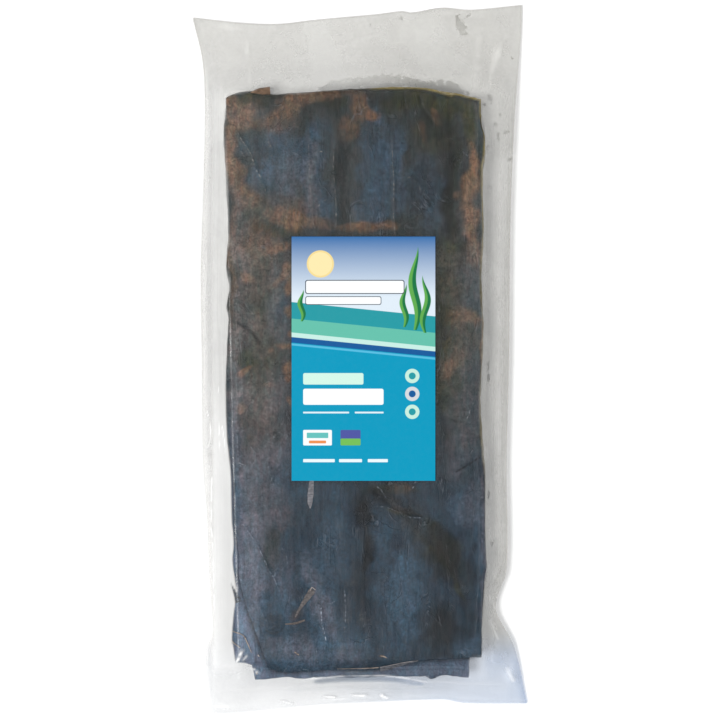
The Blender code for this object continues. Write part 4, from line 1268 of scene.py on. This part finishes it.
def filmLooks(x, y, whiteAndPaintedLight, dark):
    # haze, greyness with painted shade, painted cool light, lengthwise streaking and clinging of the film
    laid = onKelp(x, y)
    right, low = smooth((x + 0.04) / 0.12), smooth((0.02 - y) / 0.16)
    header = smooth((y - 0.17) / 0.03)
    outward = smooth((np.abs(x) - 0.088) / 0.014)
    # greyer film: its own smoky tint plus painted shade, heavier on the right, the side turned from the light
    greyAndShade = mixed(0.07 * outward, 0.50 + 0.30 * outward, right) * (1 - 0.14 * smooth((y - 0.08) / 0.05))
    greyAndShade = mixed(greyAndShade, mixed(0.44, 0.80, right) + 0.14 * smooth((y - 0.195) / 0.03) * (1 - right), header)
    foot = smooth((-0.212 - y) / 0.01)
    greyAndShade = mixed(greyAndShade, mixed(0.06, 0.62, smooth((x + 0.05) / 0.16)), foot)
    greyAndShade += 0.45 * blots(x, y, ((97, -186, 7, 20, 18, 1.0), (93, -207, 8, 12, 0, 1.0)), 80)
    side = mixed(mixed(0.15 + 0.05 * outward, 0.015 + 0.13 * outward, low), 0.20, right)
    haze = mixed(mixed(side, 0.24, header), mixed(0.08, 0.15, right), foot) + 0.02 * cloud(x, y, 0.03, 77, 4)
    outer = np.minimum.reduce([x - leftEdge(y), rightEdge(y) - x, y - bottomEdge(x), topEdge(x) - y])
    line = np.exp(-((outer / 0.0009) ** 2)) * mixed(mixed(0.35, 0.06, low * (1 - right)), 0.9, header)
    outer = np.exp(-((outer / 0.005) ** 2))
    haze = (haze + 0.05 * outer) * (1 - laid)
    # the folds' painted darkness greys the film
    greyAndShade = mixed(greyAndShade + mixed(0.12, 0.04, low * (1 - right)) * outer + line, 0.0, laid) + dark
    # painted shade: greyer along the side edges, where light gets in under the film
    edgeward = np.exp(-((np.minimum(x - leftEdge(y), rightEdge(y) - x) / 0.0035) ** 2))
    greyAndShade += mixed(0.20 * (1 - low), 0.60, right) * edgeward * (1 - header)
    # painted light: whiter film beside the left edge of the block, lifting the shade the block's wall throws there
    paintedLight = smooth((-0.07 - x) / 0.02) * smooth((x + 0.105) / 0.004) * (1 - header) * (1 - 0.7 * foot) * (1 - laid)
    whiteAndPaintedLight = np.maximum(whiteAndPaintedLight, paintedLight * mixed(0.20, 0.52, smooth(-y / 0.06)))
    # painted cool light, bluer towards the bottom and the right
    coolLight = smooth((-0.185 - y) / 0.03) * mixed(0.45, 1.0, right) + 0.06
    drawn = smooth((np.abs(x + 0.003) - 0.084) / 0.006) * smooth((0.20 - np.abs(y)) / 0.03)
    # a ragged band above the kelp's top end where the film clings, greyed with painted shade
    crest = follow(np.array(((-30, 188.5), (-25, 192), (-20, 194.4), (-5, 196.6), (20, 199.3), (36, 197.3),
                             (49, 194), (63, 195.6), (68, 192), (77, 184))) * mm, x)
    wetAndShade = 0.5 + (crest - y) / (2.4 * mm)
    wetAndShade = np.minimum(wetAndShade, 0.5 + np.minimum(x + 0.029, 0.076 - x) / (2.4 * mm))
    wetAndShade = np.clip(wetAndShade, 0, 1) * (y > 0.17)
    wetAndShade = np.maximum(wetAndShade, 1.15 * blots(x, y, cling, 79)) * (1 - laid)
    return {"haze": haze, "greyAndShade": greyAndShade, "coolLight": coolLight, "drawn": drawn, "wetAndShade": wetAndShade, "whiteAndPaintedLight": whiteAndPaintedLight}


def filmEnvelope(material):
    x, y = filmPlaces()
    climb = climbTo(x, y)
    side, bottom, top = sharesIn(x, y)
    sealed = smooth(np.minimum((y - bottomEdge(x)), (topEdge(x) - y)) / film["seal"])
    free = (1 - climb) * smooth(side / 0.25) * sealed**2
    laid = smooth((climb - 0.7) / 0.3)
    calm = smooth(offLabel(x, y) / 0.012)
    wrinkles, whiteAndPaintedLight, dark = filmWrinkles(x, y)
    fine = 0.12 * mm * cloud(x, y * 0.5, 0.010, 71, 3) * laid * calm
    upper = bagTop(x, y) + film["edge"] / 2 + free * wrinkles + fine
    relief = kelpRelief(x, y)[0]
    upper = np.maximum(upper, kelpRest(x, y) + relief * calm * laid + film["gap"] - 2 * mm * (1 - laid))
    lower = bagUnder(x, y) - film["edge"] / 2
    sag = free * 0.45 * mm * cloud(x, y, 0.02, 75, 2)
    lower = np.clip(lower + sag * (lower > 0.001), 0.0001, upper - film["edge"])
    outline = np.minimum(side, np.minimum(bottom, top)) <= 0
    lower = np.where(outline, edgeHeight(x, y) - film["edge"] / 2, lower)
    upper = np.where(outline, edgeHeight(x, y) + film["edge"] / 2, upper)
    looks = filmLooks(x, y, whiteAndPaintedLight, dark)
    return slab("film", x, y, upper, lower, material, 1, looks)


pieces["film"] = filmEnvelope(filmMaterial())
print("film:", len(pieces["film"].data.polygons), "faces")

# Label print: plain fields and shapes, in millimetres from the label's middle
labelPrint = {
    "cyan": (0.000, 0.268, 0.436),
    "skyTop": (0.032, 0.134, 0.345),
    "skyLow": (0.62, 0.70, 0.77),
    "panelLow": 8.0,
    "panelHigh": 85.1,
    "slant": 0.10,  # of the bands under the sky
    # middle height, half height, colour
    "bands": (
        (25, 9.5, (0.016, 0.270, 0.310)),
        (18, 5.0, (0.110, 0.440, 0.340)),
        (11.6, 1.7, (0.480, 0.700, 0.640)),
        (8.2, 1.9, (0.006, 0.085, 0.270)),
        (5.0, 0.7, (0.080, 0.420, 0.620)),
    ),
    # middle x, middle y, half width, half height, corner, colour
    "blocks": (
        (-30, 66, 9.5, 9.5, 9.5, (0.760, 0.600, 0.260)),
        (-30, 66, 8.2, 8.2, 8.2, (0.800, 0.680, 0.360)),
        (-6, 50, 34.6, 4.9, 1.7, (0.035, 0.050, 0.070)),
        (-6, 50, 34.0, 4.3, 1.3, (0.800, 0.820, 0.830)),
        (-14, 40.5, 26.5, 3.0, 1.4, (0.035, 0.050, 0.070)),
        (-14, 40.5, 26.0, 2.5, 1.1, (0.800, 0.820, 0.830)),
        (34, -12, 5.0, 5.0, 5.0, (0.480, 0.700, 0.600)),
        (34, -24.5, 5.0, 5.0, 5.0, (0.560, 0.580, 0.600)),
        (34, -37, 5.0, 5.0, 5.0, (0.480, 0.700, 0.600)),
        (34, -12, 2.4, 2.4, 2.4, (0.016, 0.270, 0.310)),
        (34, -24.5, 2.4, 2.4, 2.4, (0.006, 0.085, 0.270)),
        (34, -37, 2.4, 2.4, 2.4, (0.016, 0.270, 0.310)),
        (-21, -14, 21, 4.0, 1.2, (0.540, 0.760, 0.660)),
        (-14, -26.5, 28, 5.6, 1.4, (0.800, 0.820, 0.830)),
        (-26, -37.5, 16, 0.6, 0.3, (0.620, 0.730, 0.770)),
        (4, -37.5, 10, 0.6, 0.3, (0.620, 0.730, 0.770)),
        (-32, -55, 10, 5.4, 0.8, (0.790, 0.800, 0.810)),
        (-32, -53.4, 7.5, 1.9, 0.4, (0.110, 0.440, 0.420)),
        (-32, -58.0, 6, 1.0, 0.6, (0.700, 0.230, 0.070)),
        (-9, -55, 7.0, 5.4, 0.8, (0.065, 0.078, 0.300)),
        (-9, -58, 7.0, 2.4, 0.8, (0.150, 0.430, 0.080)),
        (-31, -71, 11, 1.1, 0.5, (0.700, 0.780, 0.810)),
        (-9, -71, 8, 1.1, 0.5, (0.700, 0.780, 0.810)),
        (10, -71, 7, 1.1, 0.5, (0.700, 0.780, 0.810)),
    ),
    # foot x, foot y, height, half width, sway
    "fronds": ((36, 20, 58, 3.0, 2.0), (43, 18, 40, 2.4, -1.8), (28.5, 22, 30, 2.2, 1.4), (-43, 26, 22, 2.0, 1.2)),
    "frondColours": ((0.008, 0.150, 0.048), (0.100, 0.340, 0.066)),
}


def blockGroup():
    names = [("X", 0.0), ("Y", 0.0), ("Middle X", 0.0), ("Middle Y", 0.0), ("Half Width", 5.0),
             ("Half Height", 5.0), ("Corner", 0.0), ("Soft", 0.25)]
    group, ins, outs = shaderGroup("printBlock", names, ["Mask"])

    def beyond(axis, middle, half):
        away = calc(group, "ABSOLUTE", calc(group, "SUBTRACT", ins[axis], ins[middle]))
        return calc(group, "ADD", calc(group, "SUBTRACT", away, ins[half]), ins["Corner"])

    wide, high = beyond("X", "Middle X", "Half Width"), beyond("Y", "Middle Y", "Half Height")
    outX, outY = calc(group, "MAXIMUM", wide, 0.0), calc(group, "MAXIMUM", high, 0.0)
    outside = calc(group, "SQRT", calc(group, "ADD", calc(group, "MULTIPLY", outX, outX),
                                       calc(group, "MULTIPLY", outY, outY)))
    inside = calc(group, "MINIMUM", calc(group, "MAXIMUM", wide, high), 0.0)
    away = calc(group, "SUBTRACT", calc(group, "ADD", outside, inside), ins["Corner"])
    mask = calc(group, "SUBTRACT", 0.5, calc(group, "DIVIDE", away, ins["Soft"]), clamp=True)
    feed(group, outs["Mask"], mask)
    return group


def frondGroup():
    names = [("X", 0.0), ("Y", 0.0), ("Foot X", 0.0), ("Foot Y", 0.0), ("Height", 30.0),
             ("Half Width", 2.0), ("Sway", 1.0)]
    group, ins, outs = shaderGroup("printFrond", names, ["Mask", "Half"])
    share = calc(group, "DIVIDE", calc(group, "SUBTRACT", ins["Y"], ins["Foot Y"]), ins["Height"])
    swing = calc(group, "MULTIPLY", calc(group, "SINE", calc(group, "MULTIPLY", share, 8.0)), ins["Sway"])
    off = calc(group, "SUBTRACT", calc(group, "SUBTRACT", ins["X"], ins["Foot X"]), swing)
    belly = calc(group, "SINE", calc(group, "MULTIPLY", calc(group, "ADD", calc(group, "MULTIPLY", share, 0.88), 0.12),
                                     math.pi))
    edge = calc(group, "SUBTRACT", calc(group, "ABSOLUTE", off), calc(group, "MULTIPLY", ins["Half Width"], belly))
    within = calc(group, "MULTIPLY", calc(group, "GREATER_THAN", share, 0.0), calc(group, "LESS_THAN", share, 1.0))
    mask = calc(group, "SUBTRACT", 0.5, calc(group, "DIVIDE", edge, 0.4), clamp=True)
    feed(group, outs["Mask"], calc(group, "MULTIPLY", mask, within))
    feed(group, outs["Half"], ranged(group, off, -0.3, 0.3))
    return group


def labelMaterial():
    material, tree, shader, _ = newMaterial("printedLabel")
    middle = (labelLow + labelHigh) / 2
    place = objectPlace(tree, scale=(1000.0, 1000.0, 1000.0), location=(-1000 * middle.x, -1000 * middle.y, 0.0))
    spot = addNode(tree, "ShaderNodeSeparateXYZ", {"Vector": place}).outputs
    x, y = spot["X"], spot["Y"]
    block, frond = blockGroup(), frondGroup()
    low, high = labelPrint["panelLow"], labelPrint["panelHigh"]
    sky = ranged(tree, y, low + 0.45 * (high - low), high)
    colour = tint(tree, sky, labelPrint["skyLow"], labelPrint["skyTop"])
    leaning = calc(tree, "ADD", y, calc(tree, "MULTIPLY", x, labelPrint["slant"]))
    colour = tint(tree, calc(tree, "LESS_THAN", leaning, low), colour, labelPrint["cyan"])
    for middle, half, ink in labelPrint["bands"]:
        mask = useGroup(tree, block, {"X": 0.0, "Y": leaning, "Middle X": 0.0, "Middle Y": float(middle),
                                      "Half Width": 60.0, "Half Height": half, "Corner": 0.0})["Mask"]
        colour = tint(tree, mask, colour, ink)
    dark, light = labelPrint["frondColours"]
    for footX, footY, height, half, sway in labelPrint["fronds"]:
        shape = useGroup(tree, frond, {"X": x, "Y": y, "Foot X": footX, "Foot Y": footY, "Height": height,
                                       "Half Width": half, "Sway": sway})
        colour = tint(tree, shape["Mask"], colour, tint(tree, shape["Half"], light, dark))
    for cx, cy, half, tall, corner, ink in labelPrint["blocks"]:
        mask = useGroup(tree, block, {"X": x, "Y": y, "Middle X": cx, "Middle Y": cy, "Half Width": half,
                                      "Half Height": tall, "Corner": corner})["Mask"]
        colour = tint(tree, mask, colour, ink)
    grain = useGroup(tree, fibreGrain, {"Place": objectPlace(tree), "Fibre Scale": 1500.0,
                                        "Mottle Scale": 300.0, "Stretch": 0.6})
    worn = calc(tree, "MULTIPLY", ranged(tree, grain["Mottle"], 0.4, 0.8), 0.006)
    colour = tint(tree, worn, colour, (0.80, 0.86, 0.90))
    feed(tree, shader.inputs["Base Color"], colour)
    feed(tree, shader.inputs["Roughness"], ranged(tree, grain["Fibre"], 0.3, 0.7, 0.42, 0.55))
    shader.inputs["Specular IOR Level"].default_value = 0.05
    bump = addNode(tree, "ShaderNodeBump", {"Height": grain["Height"], "Strength": 0.10, "Distance": 0.0003})
    feed(tree, shader.inputs["Normal"], bump.outputs[0])
    return material


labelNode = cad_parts["label"]
labelNode.data.materials.clear()
labelNode.data.materials.append(labelMaterial())
print("label printed")

# Placing on the frame

for name, piece in pieces.items():
    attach(piece, "root")
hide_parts("bag")

# Studio

studio = {
    "viewWide": 0.504,  # across the picture, at the bag's outline
    "lens": 360.0,
    "outlineHeight": 0.006,
    "floor": (0.93, 0.93, 0.93),
    "world": (0.95, 0.97, 1.0),
    "worldStrength": 0.56,
    # direction it comes from, spread in degrees, strength, colour
    "suns": {
        "keySun": ((-0.52, -0.22, 1.60), 18.0, 1.95, (1.0, 0.99, 0.97)),
        "fillSun": ((0.50, 0.80, 1.60), 40.0, 0.50, (1.0, 0.98, 0.95)),
    },
}


def makeFloor():
    material, tree, shader, _ = newMaterial("paleFloor")
    mottle = noise(tree, objectPlace(tree), 9.0, 2.0)
    feed(tree, shader.inputs["Base Color"], tint(tree, mottle, studio["floor"], tuple(0.99 * c for c in studio["floor"])))
    shader.inputs["Roughness"].default_value = 0.9
    shader.inputs["Specular IOR Level"].default_value = 0.1
    corners = np.array([(-3, -3, -0.0004), (3, -3, -0.0004), (3, 3, -0.0004), (-3, 3, -0.0004)])
    floor = meshOf("floor", corners, [(0, 1, 2, 3)], material)


def makeStudio():
    scene = bpy.context.scene
    world = bpy.data.worlds.new("studio")
    scene.world = world
    world.use_nodes = True
    back = world.node_tree.nodes["Background"]
    back.inputs["Color"].default_value = (*studio["world"], 1.0)
    back.inputs["Strength"].default_value = studio["worldStrength"]
    for name, (place, spread, strength, colour) in studio["suns"].items():
        sun = bpy.data.lights.new(name, "SUN")
        sun.angle = math.radians(spread)
        sun.energy = strength
        sun.color = colour
        holder = bpy.data.objects.new(name, sun)
        holder.location = place
        holder.rotation_euler = (-holder.location).to_track_quat("-Z", "Y").to_euler()
        scene.collection.objects.link(holder)
    camera = bpy.data.objects.new("camera", bpy.data.cameras.new("camera"))
    camera.data.lens = studio["lens"]
    camera.data.sensor_width = 36.0
    away = studio["viewWide"] * studio["lens"] / camera.data.sensor_width
    camera.location = (0.0, 0.0, studio["outlineHeight"] + away)
    camera.data.clip_end = 20.0
    scene.collection.objects.link(camera)
    scene.camera = camera
    scene.view_settings.view_transform = "Standard"


makeFloor()
makeStudio()
print("studio ready")
